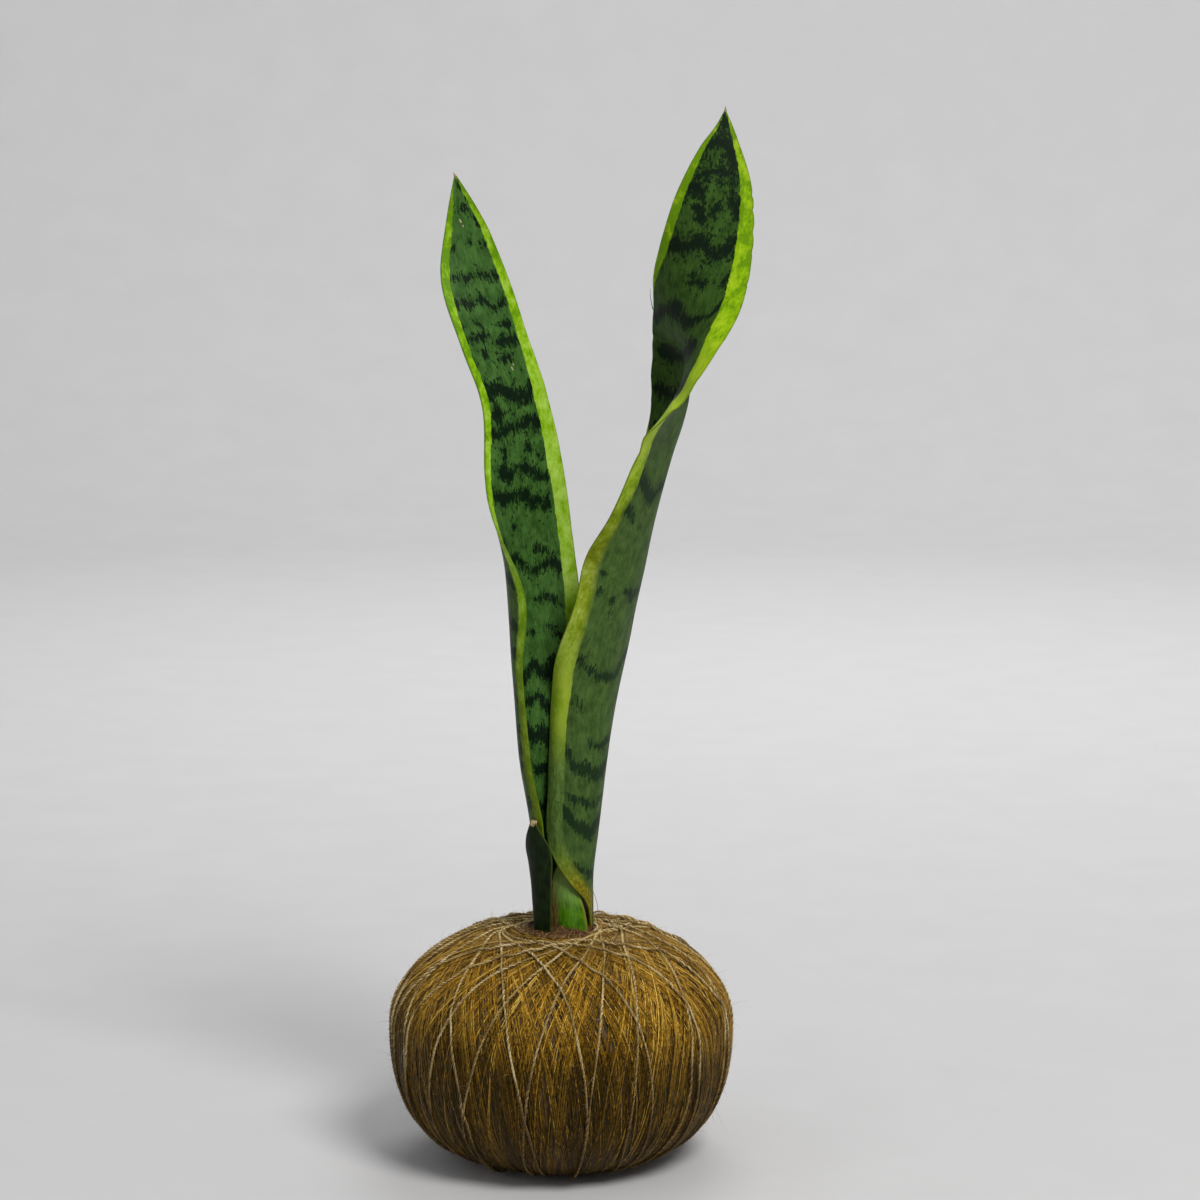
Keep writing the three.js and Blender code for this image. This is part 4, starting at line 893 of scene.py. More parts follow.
# two families of threads run round the under-layer as well: their directions, as points on a circle
az_v = np.arctan2(V[:, 0], -V[:, 1])
fm, ft = fall([25.0], [172.0])
m_v = np.where(V[:, 2] > 62, MER.ring(np.hypot(V[:, 0], V[:, 1])), np.interp(-V[:, 2], -MER.z[MER.top :], MER.m[MER.top :]))
turn_v = np.interp(m_v, fm[0], ft[0])
fam = {
    "ax": BALL_R * np.cos(az_v - turn_v), "ay": BALL_R * np.sin(az_v - turn_v),
    "bx": BALL_R * np.cos(az_v + turn_v), "by": BALL_R * np.sin(az_v + turn_v), "down": m_v,
}
shell_mat = Mat("winding_under_layer")
dn = shell_mat.mul(shell_mat.attr("down"), 0.10)
sa = shell_mat.noise(shell_mat.vec(shell_mat.attr("ax"), shell_mat.attr("ay"), dn), 1.25, 2.0, 0.6)
sb = shell_mat.noise(shell_mat.vec(shell_mat.attr("bx"), shell_mat.attr("by"), shell_mat.add(dn, 60.0)), 1.25, 2.0, 0.6)
both_f = shell_mat.math("MAXIMUM", sa, sb)
# The under-layer is more of the same thread, coloured darker than the threads on top: painted shade for the gaps
# between them.
shell_mat.set(
    Base_Color=shell_mat.ramp(both_f, [(0.40, srgb(26, 17, 6)), (0.54, srgb(62, 43, 15)), (0.68, srgb(112, 82, 32))]),
    Roughness=0.7,
    Normal=shell_mat.bump(both_f, 0.9, 0.6),
)
ob = make("winding_under_layer", V, q[:, ::-1], None if t is None else t[:, ::-1], fam)
dress(ob, shell_mat, "winding_thread", "thread_winding")

# ---- threads, in small groups that lie beside and over one another
rng = np.random.default_rng(7)
GROUPS, PER, N_PTS = 610, 3, 37
g_theta = (np.arange(GROUPS) + rng.random(GROUPS)) * 2 * PI / GROUPS
rng.shuffle(g_theta)
g_sense = np.where(rng.random(GROUPS) < 0.5, 1.0, -1.0)
g_c = 22.6 + 6.5 * rng.random(GROUPS) ** 1.6 + 8.0 * (rng.random(GROUPS) < 0.10) * rng.random(GROUPS)
swing25 = -fall([22.0], [172.0])[1][0, 0]
inner_ring = ring_min(g_theta - g_sense * swing25)
g_c = np.where(rng.random(GROUPS) < 0.34, inner_ring + 0.2 + np.abs(rng.normal(0, 1.8, GROUPS)), g_c)
g_c = np.maximum(g_c, inner_ring)
g_h = rng.random(GROUPS)
g_tone = rng.normal(0, 0.13, GROUPS)
k = np.arange(PER) - (PER - 1) / 2
theta0 = (g_theta[:, None] + (k[None, :] * 0.62 + rng.normal(0, 0.10, (GROUPS, PER))) / BALL_R).ravel()
c_all = np.maximum((g_c[:, None] + k[None, :] * 0.35 + rng.normal(0, 0.25, (GROUPS, PER))).ravel(), np.repeat(inner_ring, PER))
sense = np.repeat(g_sense, PER)
low = 156.0 + 16.0 * rng.random(GROUPS * PER)
run = 0.25 + 0.75 * rng.random(GROUPS * PER)
layer = (g_h[:, None] * 0.50 + rng.normal(0, 0.07, (GROUPS, PER))).ravel()
tone = (g_tone[:, None] + rng.normal(0, 0.22, (GROUPS, PER))).ravel()
radius = 0.245 + 0.035 * rng.normal(0, 1, len(theta0)).clip(-1.5, 1.8)
m_f, th_f = fall(c_all, low)
n_thr = len(theta0)
m_s, th_s, along = np.empty((n_thr, N_PTS)), np.empty((n_thr, N_PTS)), np.empty((n_thr, N_PTS))
for i in range(n_thr):
    arc = np.linspace(run[i], 0, 8)[:-1]
    mm = np.concatenate([np.full(7, m_f[i, 0]), m_f[i]])
    tt = np.concatenate([th_f[i, 0] - arc, th_f[i]])
    rr = np.interp(mm, MER.m, MER.r)
    s = np.concatenate([[0], np.cumsum(np.hypot(np.diff(mm), rr[1:] * np.diff(tt)))])
    q_i = np.linspace(0, s[-1], N_PTS)
    m_s[i], th_s[i], along[i] = np.interp(q_i, s, mm), np.interp(q_i, s, tt), q_i
th_s = theta0[:, None] + sense[:, None] * th_s
cols = np.arange(N_PTS)[None, :]
who = np.arange(n_thr)[:, None]
sway = (noise(71, who * 0.77, cols * 0.22) - 0.5) * 1.5 + (noise(73, who * 0.37, cols * 0.9) - 0.5) * 0.35
th_s = th_s + sway / np.maximum(MER.at(m_s)[0], 22)
h = layer[:, None] - 0.36 + 0.18 * (noise(72, who * 0.61, cols * 0.35) - 0.5)
h = h + (1 - smooth(MER.at(m_s)[0], 20.5, 24.5)) * (0.5 + 1.4 * noise(74, who * 0.71, cols * 0.1))
P, N = MER.place(m_s, th_s, h)
ends = np.minimum(cols, cols[:, ::-1])
P = P - N * (np.maximum(0, 1.5 - ends) * 0.6)[..., None]
P[..., 2] = np.maximum(P[..., 2], 0.30)

thread_mat = Mat("winding_thread")
tn, al = thread_mat.attr("tone"), thread_mat.attr("along")
p = thread_mat.position()
sep = thread_mat.nt.nodes.new("ShaderNodeSeparateXYZ")
thread_mat.nt.links.new(p, sep.inputs[0])
hz_ = sep.outputs[2]
n1 = thread_mat.noise(p, 0.075, 3.0, 0.6)
n2 = thread_mat.noise(thread_mat.vec(thread_mat.mul(al, 0.52), thread_mat.mul(tn, 61.0), 0.0), 1.0, 2.0, 0.7)
# painted shade: the lower half and the left side of the ball are darker, as if out of the light
painted_shade_mask = thread_mat.step(thread_mat.add(hz_, thread_mat.mul(sep.outputs[0], 0.10), thread_mat.mul(thread_mat.add(n1, -0.5), 20.0)), 93.0, 45.0)
g = thread_mat.add(thread_mat.mul(tn, 0.63), thread_mat.mul(n1, 0.20), thread_mat.mul(n2, 1.00), -0.435)
gold = thread_mat.ramp(g, [(0.14, srgb(36, 23, 3)), (0.32, srgb(86, 58, 8)), (0.48, srgb(138, 98, 17)), (0.66, srgb(182, 137, 36)), (0.90, srgb(234, 198, 100))])
# the second ramp is the same gold, darker, for the painted shade
shaded_colour = thread_mat.ramp(g, [(0.14, srgb(10, 6, 1)), (0.34, srgb(36, 24, 2)), (0.52, srgb(68, 46, 5)), (0.72, srgb(114, 82, 16)), (0.95, srgb(172, 136, 52))])
# and the threads deep beside the opening are in shade
away = thread_mat.math("SQRT", thread_mat.add(thread_mat.mul(sep.outputs[0], sep.outputs[0]), thread_mat.mul(sep.outputs[1], sep.outputs[1])))
hue = thread_mat.mix(thread_mat.step(away, 62.0, 32.0, 0.0, 0.34), thread_mat.mix(painted_shade_mask, gold, shaded_colour), srgb(52, 36, 10))
thread_mat.set(Base_Color=hue, Roughness=thread_mat.add(0.38, thread_mat.mul(n2, 0.16)))
thread_mat.bsdf.inputs["Specular IOR Level"].default_value = 1.0
thread_mat.bsdf.inputs["IOR"].default_value = 1.3
thread_mat.bsdf.inputs["Specular Tint"].default_value = (1.0, 0.77, 0.27, 1.0)
parts = 3
per = n_thr // parts
for i in range(parts):
    sel = np.arange(n_thr)[i * per : (i + 1) * per if i < parts - 1 else n_thr]
    V, q, t = tubes(P[sel], N[sel], radius[sel, None], 3)
    ob = make(f"winding_threads_{i + 1}", V, q, t, {"tone": per_point(tone[sel] + 0.5, N_PTS, 3), "along": per_point(along[sel] + 211.0 * who[sel], N_PTS, 3)})
    dress(ob, thread_mat, "winding_thread", "thread_winding")

# ------------------------------------------------------------------ twine
# strands on the front: points of (azimuth in degrees, arc length from radius 20), from the opening down
FALLING = {
    "A": [(-112, 7.5), (-95, 14.5), (-88, 24), (-85, 36.2), (-81.7, 47.9), (-79.3, 59.9), (-78, 90), (-77, 120), (-76, 150)],
    "M": [(-88.7, 9.3), (-74.7, 15.1), (-70.5, 24), (-69, 34), (-67.3, 43.3), (-65.7, 53), (-64.4, 63), (-63.3, 72), (-63.3, 84), (-63.7, 95), (-63.5, 110), (-63, 150)],
    "B": [(-84, 6.9), (-65.8, 14.2), (-53.8, 22.6), (-48.1, 32.5), (-45, 42.5), (-42.2, 52.7), (-39.5, 62), (-37.8, 70.6), (-36.6, 79.6), (-35.2, 89.2), (-34.1, 98.6), (-33.4, 107.8), (-33.5, 119), (-35.6, 132.5), (-37, 150)],
    "D": [(-81.6, 7), (-56, 12), (-41, 19.4), (-33.3, 26.6), (-28.7, 32.8), (-23.4, 43.3), (-19.8, 54), (-17.6, 63.6), (-16.1, 71.8), (-15, 79.5), (-13.7, 87.1), (-12.4, 96.7), (-11.2, 105.1), (-10, 116.6), (-9.5, 126), (-9.2, 136.6), (-9, 150)],
    "E": [(-77, 6.9), (-57.6, 8.6), (-35, 13.2), (-23.8, 17.4), (-16.9, 21.2), (-10.6, 26.4), (-3.7, 34.7), (0.8, 42.8), (3.4, 50.9), (5, 59.4), (6.2, 68), (7.1, 74.5), (8.2, 82.3), (8.9, 91.3), (9.2, 102), (9, 111), (8.5, 118.5), (7.9, 130), (7.6, 150)],
    "F": [(-80, 7), (-50.7, 5.8), (-28, 6.6), (-14, 9.8), (-3.7, 14.6), (5.2, 20.4), (13, 27.8), (19, 34.3), (22.8, 41.9), (25, 50.4), (26.8, 58.8), (28.3, 67), (29.7, 74.8), (31, 84), (31.9, 94.6), (32.3, 105), (32.7, 115), (33.2, 124), (34, 150)],
}
RISING = {
    "C": [(3.7, 12.9), (-5.3, 17.2), (-12.1, 20.6), (-17.6, 23.8), (-22.8, 27.6), (-28.3, 33), (-32.4, 38), (-35.3, 43.6), (-38.3, 51.5), (-40.8, 61), (-43.4, 70.6), (-46.1, 82), (-48.1, 92.6), (-49.5, 103), (-50.6, 111.6), (-52, 130), (-53, 150)],
    "H": [(1.1, 18.4), (-6.5, 27.2), (-12.7, 35.4), (-18.2, 45), (-21.7, 54), (-24.1, 62.6), (-26.6, 71.6), (-29, 81.4), (-31.6, 93), (-34, 102.2), (-35.7, 111), (-36.7, 120), (-37.2, 135), (-38, 150)],
    "K": [(18, 18.3), (9.5, 27), (3.8, 34.7), (0.3, 42.8), (-2.4, 50.9), (-5, 61), (-6.9, 69.5), (-8.3, 77), (-9.6, 85.3), (-10.6, 93.4), (-11.5, 102), (-12.5, 110), (-13.9, 122), (-14.9, 131), (-16, 150)],
    "J": [(28.5, 21.4), (21.4, 33.6), (18, 43.9), (15.8, 52.1), (14.1, 60), (12.8, 67.6), (11.7, 76.2), (10.8, 84.8), (10.1, 92.8), (9.6, 101), (9.2, 110), (8.6, 122), (8.1, 135), (7.5, 150)],
    "Q": [(85, 8), (78.5, 13), (71, 20.5), (66, 28), (60.8, 35.2), (56.3, 42.8), (52.9, 50.3), (50.6, 58), (49.2, 67), (48.5, 76), (48.2, 86), (48.3, 96), (48, 104.5), (47, 114), (45.5, 122), (44, 135), (43, 150)],
    "I": [(122, 5.2), (104, 4.6), (86.2, 6.4), (66.8, 9.8), (53, 14), (45, 19.8), (39.2, 28.4), (34.9, 37.6), (31.6, 46), (29, 54.3), (27.3, 62.1), (26.2, 71), (25.5, 80.4), (24.9, 91), (24.4, 100), (24.1, 110), (24.5, 122), (26.2, 134), (30, 147)],
    "R": [(118, 5.2), (104, 7.2), (92, 11.5), (84.5, 19), (82, 27), (80.8, 34.5), (79, 42), (77, 49), (75.2, 56), (73, 63.5), (71.5, 76), (70, 100), (69, 125), (68, 150)],
}
# strands that pass right across the front of the opening
ACROSS = [
    [(-76, 150), (-75, 110), (-74, 80), (-73, 68), (-71.9, 60.5), (-70.5, 53.4), (-69, 46.8), (-67, 40.4), (-64, 34.6), (-60.4, 30), (-56, 26.4), (-50.8, 23.2), (-45.2, 20), (-39, 16.8), (-32, 13.4), (-24.5, 10.2), (-15, 7.4), (-5.2, 5.4), (12.7, 4.2), (26, 7), (37, 13.6), (46.8, 18.6), (55.3, 22.2), (61.4, 25.8), (66, 30), (68.6, 34.8), (69.5, 40), (69.8, 47.1), (70.6, 54), (72, 62), (75, 76), (77, 100), (78, 150)],
    [(-65, 150), (-64, 120), (-63, 95), (-61.5, 76), (-60, 65), (-58.2, 58.4), (-55.6, 52.6), (-52.6, 46.6), (-49.4, 40.8), (-45.8, 35.2), (-40.4, 29.6), (-32, 24), (-22.2, 19.4), (-13.8, 16.2), (-5, 12.8), (4, 10.8), (11.5, 11.4), (18.5, 14), (26.4, 17.9), (35, 22.8), (41.4, 27.6), (45.5, 33.2), (48.1, 39.8), (49.8, 48), (50.8, 56), (51.6, 66), (52.4, 76), (53, 95), (54, 120), (55, 150)],
]
# pairs: a strand that rises, and the one it becomes when it has passed behind the leaves; numbers are azimuths on the far side
PAIRS = [("C", 118), ("H", 133), ("K", 148), ("J", 168), ("Q", 189), ("I", 207), ("R", 224), (142, "A"), (158, "M"), (176, "B"), (194, "D"), (208, "E"), (219, "F"), (88, 240), (104, 257), (121, 272)]
LOW_END = 160.0


def route(points, step=0.8):
    p = np.array(points, float)
    a, m = np.radians(p[:, 0]), p[:, 1]
    r = np.interp((m[1:] + m[:-1]) / 2, MER.m, MER.r)
    s = np.concatenate([[0], np.cumsum(np.hypot(np.diff(m), r * np.diff(a)))])
    q = np.arange(0, s[-1], step)
    return herm(s, m, q), herm(s, a, q)


def seen(points, sense, c):
    """A traced strand run on upwards to the ring of radius c: arc length and azimuth from the ring down, and the radius."""
    m, a = route(points)
    c = min(c, float(np.interp(m[0], MER.m, MER.r)) - 0.5)
    fm, ft = fall([c], [170.0])
    fm, ft = fm[0], ft[0]
    on = fm < m[0] - 0.4
    return np.concatenate([fm[on], m]), np.concatenate([a[0] + sense * (ft[on] - np.interp(m[0], fm, ft)), a]), c


def unseen(c, turn, eq_deg, sense):
    """A strand on the far side, from azimuth turn on the ring to eq_deg at the widest section and on down."""
    fm, ft = fall([c], [150.0])
    fm, ft = fm[0], ft[0]
    eq_a = math.radians(eq_deg)
    while sense > 0 and eq_a < turn + 0.2:
        eq_a += 2 * PI
    while sense < 0 and eq_a > turn - 0.2:
        eq_a -= 2 * PI
    swing = -ft[0]
    span = sense * (eq_a - turn)
    extra = max(0.0, span - 1.12 * swing)
    f = np.clip(1 + ft / swing, 0, 1)
    a = np.where(ft <= 0, turn + sense * (extra + (span - extra) * f), eq_a + sense * ft)
    if extra > 0.02:
        arc = np.linspace(0, extra, max(3, int(extra * c / 0.8)))[:-1]
        fm, a = np.concatenate([np.full(len(arc), fm[0]), fm]), np.concatenate([turn + sense * arc, a])
    return fm, a


def snug(turn, n):
    """Radius at which strand n passes the leaves when it turns at that azimuth."""
    return float(np.clip(ring_min(turn) + 0.7 + 1.0 * (n % 3), 16.2, 26.0))


paths = []
for n, (up, down) in enumerate(PAIRS):
    if isinstance(up, str):
        um, ua, c = seen(RISING[up], -1, snug(seen(RISING[up], -1, 21.0)[1][0], n))
        fm, a = unseen(c, ua[0], down, 1)
    elif isinstance(down, str):
        fm, a, c = seen(FALLING[down], 1, snug(seen(FALLING[down], 1, 21.0)[1][0], n))
        um, ua = unseen(c, a[0], up, -1)
    else:
        turn = math.radians((up + down) / 2)
        um, ua = unseen(snug(turn, n), turn, up, -1)
        fm, a = unseen(snug(turn, n), turn, down, 1)
    paths.append((np.concatenate([um[::-1], fm[1:]]), np.concatenate([ua[::-1], a[1:]])))
for pts in ACROSS:
    paths.append(route(pts))

STEP = 0.65
PLY_R, PLY_OFF = 0.37, 0.34
sampled = []
for n, (mm, tt) in enumerate(paths):
    # both ends run on under the ball
    mm = np.concatenate([[LOW_END], mm, [LOW_END]])
    tt = np.concatenate([[tt[0]], tt, [tt[-1]]])
    P0, _ = MER.place(mm, tt, np.full(len(mm), 0.5))
    s = np.concatenate([[0], np.cumsum(np.maximum(np.linalg.norm(np.diff(P0, axis=0), axis=1), 1e-4))])
    q = np.arange(0, s[-1], STEP)
    ms, ts = np.interp(q, s, mm), np.interp(q, s, tt)
    ker = np.hanning(17)
    ker /= ker.sum()
    for _ in range(2):
        ms = np.convolve(np.pad(ms, 8, mode="reflect", reflect_type="odd"), ker, "valid")
        ts = np.convolve(np.pad(ts, 8, mode="reflect", reflect_type="odd"), ker, "valid")
    rr = np.interp(ms, MER.m, MER.r)
    ts = ts + 0.7 * (noise(81, q * 0.06, n * 1.3) - 0.5) / np.maximum(rr, 16)
    sampled.append((q, ms, ts))

# heights: a later strand lies over an earlier one where they meet
heights, done_pts, done_h = [], [], []
for n, (q, ms, ts) in enumerate(sampled):
    P0, _ = MER.place(ms, ts, np.zeros(len(ms)))
    rr = np.interp(ms, MER.m, MER.r)
    h = np.full(len(q), 0.28)
    if done_pts:
        D, H = np.concatenate(done_pts), np.concatenate(done_h)
        for a0 in range(0, len(P0), 400):
            seg = P0[a0 : a0 + 400]
            dist = np.linalg.norm(seg[:, None] - D[None], axis=2)
            lift = np.where(dist < 1.25, H[None] + 1.05 * np.sqrt(np.maximum(0, 1 - (dist / 1.25) ** 2)), 0).max(1)
            h[a0 : a0 + 400] = np.maximum(h[a0 : a0 + 400], lift)
    wide = np.zeros_like(h)
    for k_ in range(-7, 8):
        wide = np.maximum(wide, np.roll(h, k_) - 0.035 * k_ * k_ * STEP)
    h = np.minimum(wide, 1.35 + 0.75 * smooth(rr, 32, 42) - 0.25 * smooth(-rr, -24, -18))
    ker = np.hanning(9)
    ker /= ker.sum()
    h = np.convolve(np.pad(h, 4, mode="edge"), ker, "valid")
    under = np.minimum(np.arange(len(h)), np.arange(len(h))[::-1]) * STEP
    h = h - 1.6 * (1 - smooth(under, 0, 9))
    heights.append(h)
    keep = slice(None, None, 2)
    done_pts.append(P0[keep])
    done_h.append(h[keep])

LAY = 3.4  # length of one full turn of the two plies
ply = [Merge(), Merge()]
fuzz_roots = []
for n, ((q, ms, ts), h) in enumerate(zip(sampled, heights)):
    C, Nn = MER.place(ms, ts, h + 0.32)
    C[:, 2] = np.maximum(C[:, 2], PLY_R + PLY_OFF + 0.12)
    T = unit(np.gradient(C, axis=0))
    Nn = unit(Nn - (Nn * T).sum(-1, keepdims=True) * T)
    B = np.cross(T, Nn)
    # some stretches are thin, the one strand faintly so along its whole length
    fat = (0.86 if n == 3 else 1.0) * (1 + 0.20 * (noise(82, q * 0.09, n * 2.1) - 0.5) * 2)
    turn = 2 * PI * (q / LAY + 0.8 * noise(83, q * 0.05, n * 3.7))
    fuzz_roots.append((C, Nn, B, T))
    for k_ in (0, 1):
        a = turn + PI * k_
        cc = C + PLY_OFF * fat[:, None] * (np.cos(a)[:, None] * Nn + np.sin(a)[:, None] * B)
        rad = PLY_R * fat * (1 + 0.16 * (noise(84 + k_, q * 0.6, n) - 0.5))
        V, qd, tr = tubes(cc[None], Nn[None], rad[None], 4, phase=a[None])
        tone_t = per_point((0.5 + 0.7 * (noise(86, q * 0.13, n * 5 + k_) - 0.5))[None], len(q), 4)
        ply[n % 2].add(V, qd, tr, tone=tone_t)

twine_mat = Mat("jute_twine")
tn = twine_mat.attr("tone")
p = twine_mat.position()
sep = twine_mat.nt.nodes.new("ShaderNodeSeparateXYZ")
twine_mat.nt.links.new(p, sep.inputs[0])
n1 = twine_mat.noise(p, 0.11, 3.0, 0.6)
n2 = twine_mat.noise(p, 2.6, 2.0, 0.6)
g = twine_mat.add(twine_mat.mul(tn, 0.45), twine_mat.mul(n1, 0.35), twine_mat.mul(n2, 0.45), -0.12)
# painted shade: the twine is darker towards the bottom of the ball, mixed from a lit and a shaded ramp of the same tan
painted_shade_mask = twine_mat.step(twine_mat.add(sep.outputs[2], twine_mat.mul(twine_mat.add(n1, -0.5), 34.0)), 79.0, 34.0)
lit_colour = twine_mat.ramp(g, [(0.26, srgb(98, 76, 34)), (0.42, srgb(150, 124, 66)), (0.56, srgb(198, 172, 112)), (0.74, srgb(240, 222, 178))])
shaded_colour = twine_mat.ramp(g, [(0.26, srgb(56, 40, 11)), (0.44, srgb(88, 66, 24)), (0.60, srgb(124, 96, 43)), (0.78, srgb(174, 145, 86))])
twine_mat.set(Base_Color=twine_mat.mix(painted_shade_mask, lit_colour, shaded_colour), Roughness=0.6, Normal=twine_mat.bump(n2, 0.5, 0.12))
for i in (0, 1):
    ob = ply[i].make(f"twine_{i + 1}")
    dress(ob, twine_mat, "jute_twine", "twine_binding")

# ---- loose fibres of the twine and the threads
rng = np.random.default_rng(17)


def hairs(roots, normals, along, lengths, rad, points=4, lay=0.6, seed=3):
    """Thin curved fibres that start in the yarn and stand off it: centre lines, normals and radii."""
    g = np.random.default_rng(seed)
    n = len(roots)
    side = np.cross(normals, along)
    d = unit(normals * (0.35 + 0.8 * g.random((n, 1))) + along * g.normal(0, lay + 0.5, (n, 1)) + side * g.normal(0, 0.7, (n, 1)))
    curl = unit(g.normal(0, 1, (n, 3)))
    s = np.linspace(0, 1, points)[None, :, None]
    P = roots[:, None] + lengths[:, None, None] * (d[:, None] * s + 0.42 * curl[:, None] * s * s)
    R = rad * (1 - 0.75 * s[..., 0]) * np.ones((n, 1))
    return P, np.repeat(unit(np.cross(d, curl))[:, None], points, 1), R


all_C = np.concatenate([c for c, _, _, _ in fuzz_roots])
all_N = np.concatenate([c for _, c, _, _ in fuzz_roots])
all_B = np.concatenate([c for _, _, c, _ in fuzz_roots])
all_T = np.concatenate([c for _, _, _, c in fuzz_roots])
pick = rng.choice(len(all_C), 2300, replace=False)
ang = rng.random(len(pick)) * 2 * PI
out_dir = np.cos(ang)[:, None] * all_N[pick] + np.sin(ang)[:, None] * all_B[pick]
out_dir = unit(out_dir + 0.5 * all_N[pick])
Ph, Nh, Rh = hairs(all_C[pick] + 0.5 * out_dir, out_dir, all_T[pick], rng.gamma(2.0, 0.95, len(pick)).clip(0.6, 7.5), 0.062, seed=4)
fz = Merge()
V, qd, tr = tubes(Ph, Nh, Rh, 3)
V[:, 2] = np.maximum(V[:, 2], 0.05)
fz.add(V, qd, tr, tone=per_point(rng.random(len(pick)), Ph.shape[1], 3))
ob = fz.make("twine_fuzz")
dress(ob, twine_mat, "jute_twine", "twine_binding")

pick = rng.choice(P.shape[0] * P.shape[1], 4300, replace=False)
pi_, pj_ = np.unravel_index(pick, P.shape[:2])
inner_ok = (pj_ > 2) & (pj_ < P.shape[1] - 3)
pi_, pj_ = pi_[inner_ok], pj_[inner_ok]
Tt = unit(np.gradient(P, axis=1))
Ph, Nh, Rh = hairs(P[pi_, pj_], N[pi_, pj_], Tt[pi_, pj_], rng.gamma(1.9, 1.1, len(pi_)).clip(0.6, 8.5), 0.058, seed=5)
fz = Merge()
V, qd, tr = tubes(Ph, Nh, Rh, 3)
V[:, 2] = np.maximum(V[:, 2], 0.05)
fz.add(V, qd, tr, tone=per_point(rng.random(len(pi_)), Ph.shape[1], 3))
ob = fz.make("winding_fuzz")
fuzz_mat = Mat("winding_fuzz")
tn = fuzz_mat.attr("tone")
fuzz_mat.set(Base_Color=fuzz_mat.ramp(tn, [(0.0, srgb(70, 46, 12)), (0.5, srgb(138, 100, 34)), (1.0, srgb(206, 172, 100))]), Roughness=0.6)
dress(ob, fuzz_mat, "winding_thread", "thread_winding")

# ------------------------------------------------------------------ soil
SOIL_Z = 102.9


def soil_height(x, y):
    r = np.hypot(x, y)
    crown = 4.2 * np.exp(-(((x + 1) / 14) ** 2 + ((y + 8) / 14) ** 2) * 0.9)
    lumps = 1.5 * (noise(91, x * 0.30, y * 0.30) - 0.5) + 0.9 * (noise(92, x * 0.75, y * 0.75) - 0.5) + 0.5 * (noise(93, x * 1.7, y * 1.7) - 0.5)
    return SOIL_Z - 0.5 + crown + lumps - 1.2 * smooth(r, 18.5, 22.0)


rr = np.concatenate([[0.0], np.linspace(0.6, 21.85, 48)])
prof = [[r, SOIL_Z] for r in rr] + [[21.9, 100.6], [21.9, 99.0]]
d_s = 6.5
body_r = np.sin(np.linspace(np.arcsin(22.2 / (BALL_R - d_s)), PI / 2, 14)) * (BALL_R - d_s)
prof += [[r, min(float(top_z(r, d_s)), 98.6)] for r in body_r]
low_r = np.sin(np.linspace(PI / 2, np.arcsin(12.0 / (BALL_R - d_s)), 16))[1:] * (BALL_R - d_s)
prof += [[r, max(float(bottom_z(r, d_s)), 6.6)] for r in low_r] + [[0.0, 6.6]]
n_top = len(rr)


def soil_wobble(R, Z, th):
    Z = Z.copy()
    x, y = R * np.sin(th), -R * np.cos(th)
    Z[:n_top] = soil_height(x[:n_top], y[:n_top])
    return R, Z


V, q, t = lathe(prof, 130, soil_wobble)
soil_mat = Mat("soil")
p = soil_mat.position()
s1 = soil_mat.noise(p, 0.55, 4.0, 0.65)
s2 = soil_mat.noise(p, 2.4, 3.0, 0.6)
g = soil_mat.add(soil_mat.mul(s1, 0.5), soil_mat.mul(s2, 0.5))
soil_mat.set(
    Base_Color=soil_mat.ramp(g, [(0.34, srgb(36, 22, 9)), (0.48, srgb(80, 52, 22)), (0.60, srgb(116, 80, 36)), (0.72, srgb(152, 114, 58))]),
    Roughness=0.95,
    Normal=soil_mat.bump(g, 0.9, 0.9),
)
soil = Merge()
soil.add(V, q[:, ::-1], None if t is None else t[:, ::-1])
# the hollow that the rhizome fills
cav = [[0.0, 82.1], [13.1, 82.1], [18.5, 90.1], [18.5, 99.7], [17.1, 101.2], [0.0, 101.2]]
V, q, t = lathe(cav, 60)
soil.add(V, q[:, ::-1], None if t is None else t[:, ::-1])
ob = soil.make("soil")
dress(ob, soil_mat, "soil", "root_ball")

# crumbs and coir fibres on the soil
g9 = np.random.default_rng(23)
phi_g = (1 + 5**0.5) / 2
ico = unit(np.array([[-1, phi_g, 0], [1, phi_g, 0], [-1, -phi_g, 0], [1, -phi_g, 0], [0, -1, phi_g], [0, 1, phi_g], [0, -1, -phi_g], [0, 1, -phi_g], [phi_g, 0, -1], [phi_g, 0, 1], [-phi_g, 0, -1], [-phi_g, 0, 1]]))
ico_f = np.array([[0, 11, 5], [0, 5, 1], [0, 1, 7], [0, 7, 10], [0, 10, 11], [1, 5, 9], [5, 11, 4], [11, 10, 2], [10, 7, 6], [7, 1, 8], [3, 9, 4], [3, 4, 2], [3, 2, 6], [3, 6, 8], [3, 8, 9], [4, 9, 5], [2, 4, 11], [6, 2, 10], [8, 6, 7], [9, 8, 1]])
crumbs = Merge()
for _ in range(520):
    r_, a_ = 21.2 * math.sqrt(g9.random()), g9.random() * 2 * PI
    x_, y_ = r_ * math.sin(a_), -r_ * math.cos(a_)
    size = 0.28 + 0.75 * g9.random() ** 2.5
    v = ico * (1 + 0.35 * g9.normal(0, 1, (12, 1)).clip(-1, 1)) * size * np.array([1.0, 1.0, 0.75])
    crumbs.add(v + np.array([x_, y_, float(soil_height(np.array(x_), np.array(y_))) + 0.2 * size]), None, ico_f)
ob = crumbs.make("soil_crumbs", smooth_faces=False)
dress(ob, soil_mat, "soil", "root_ball")

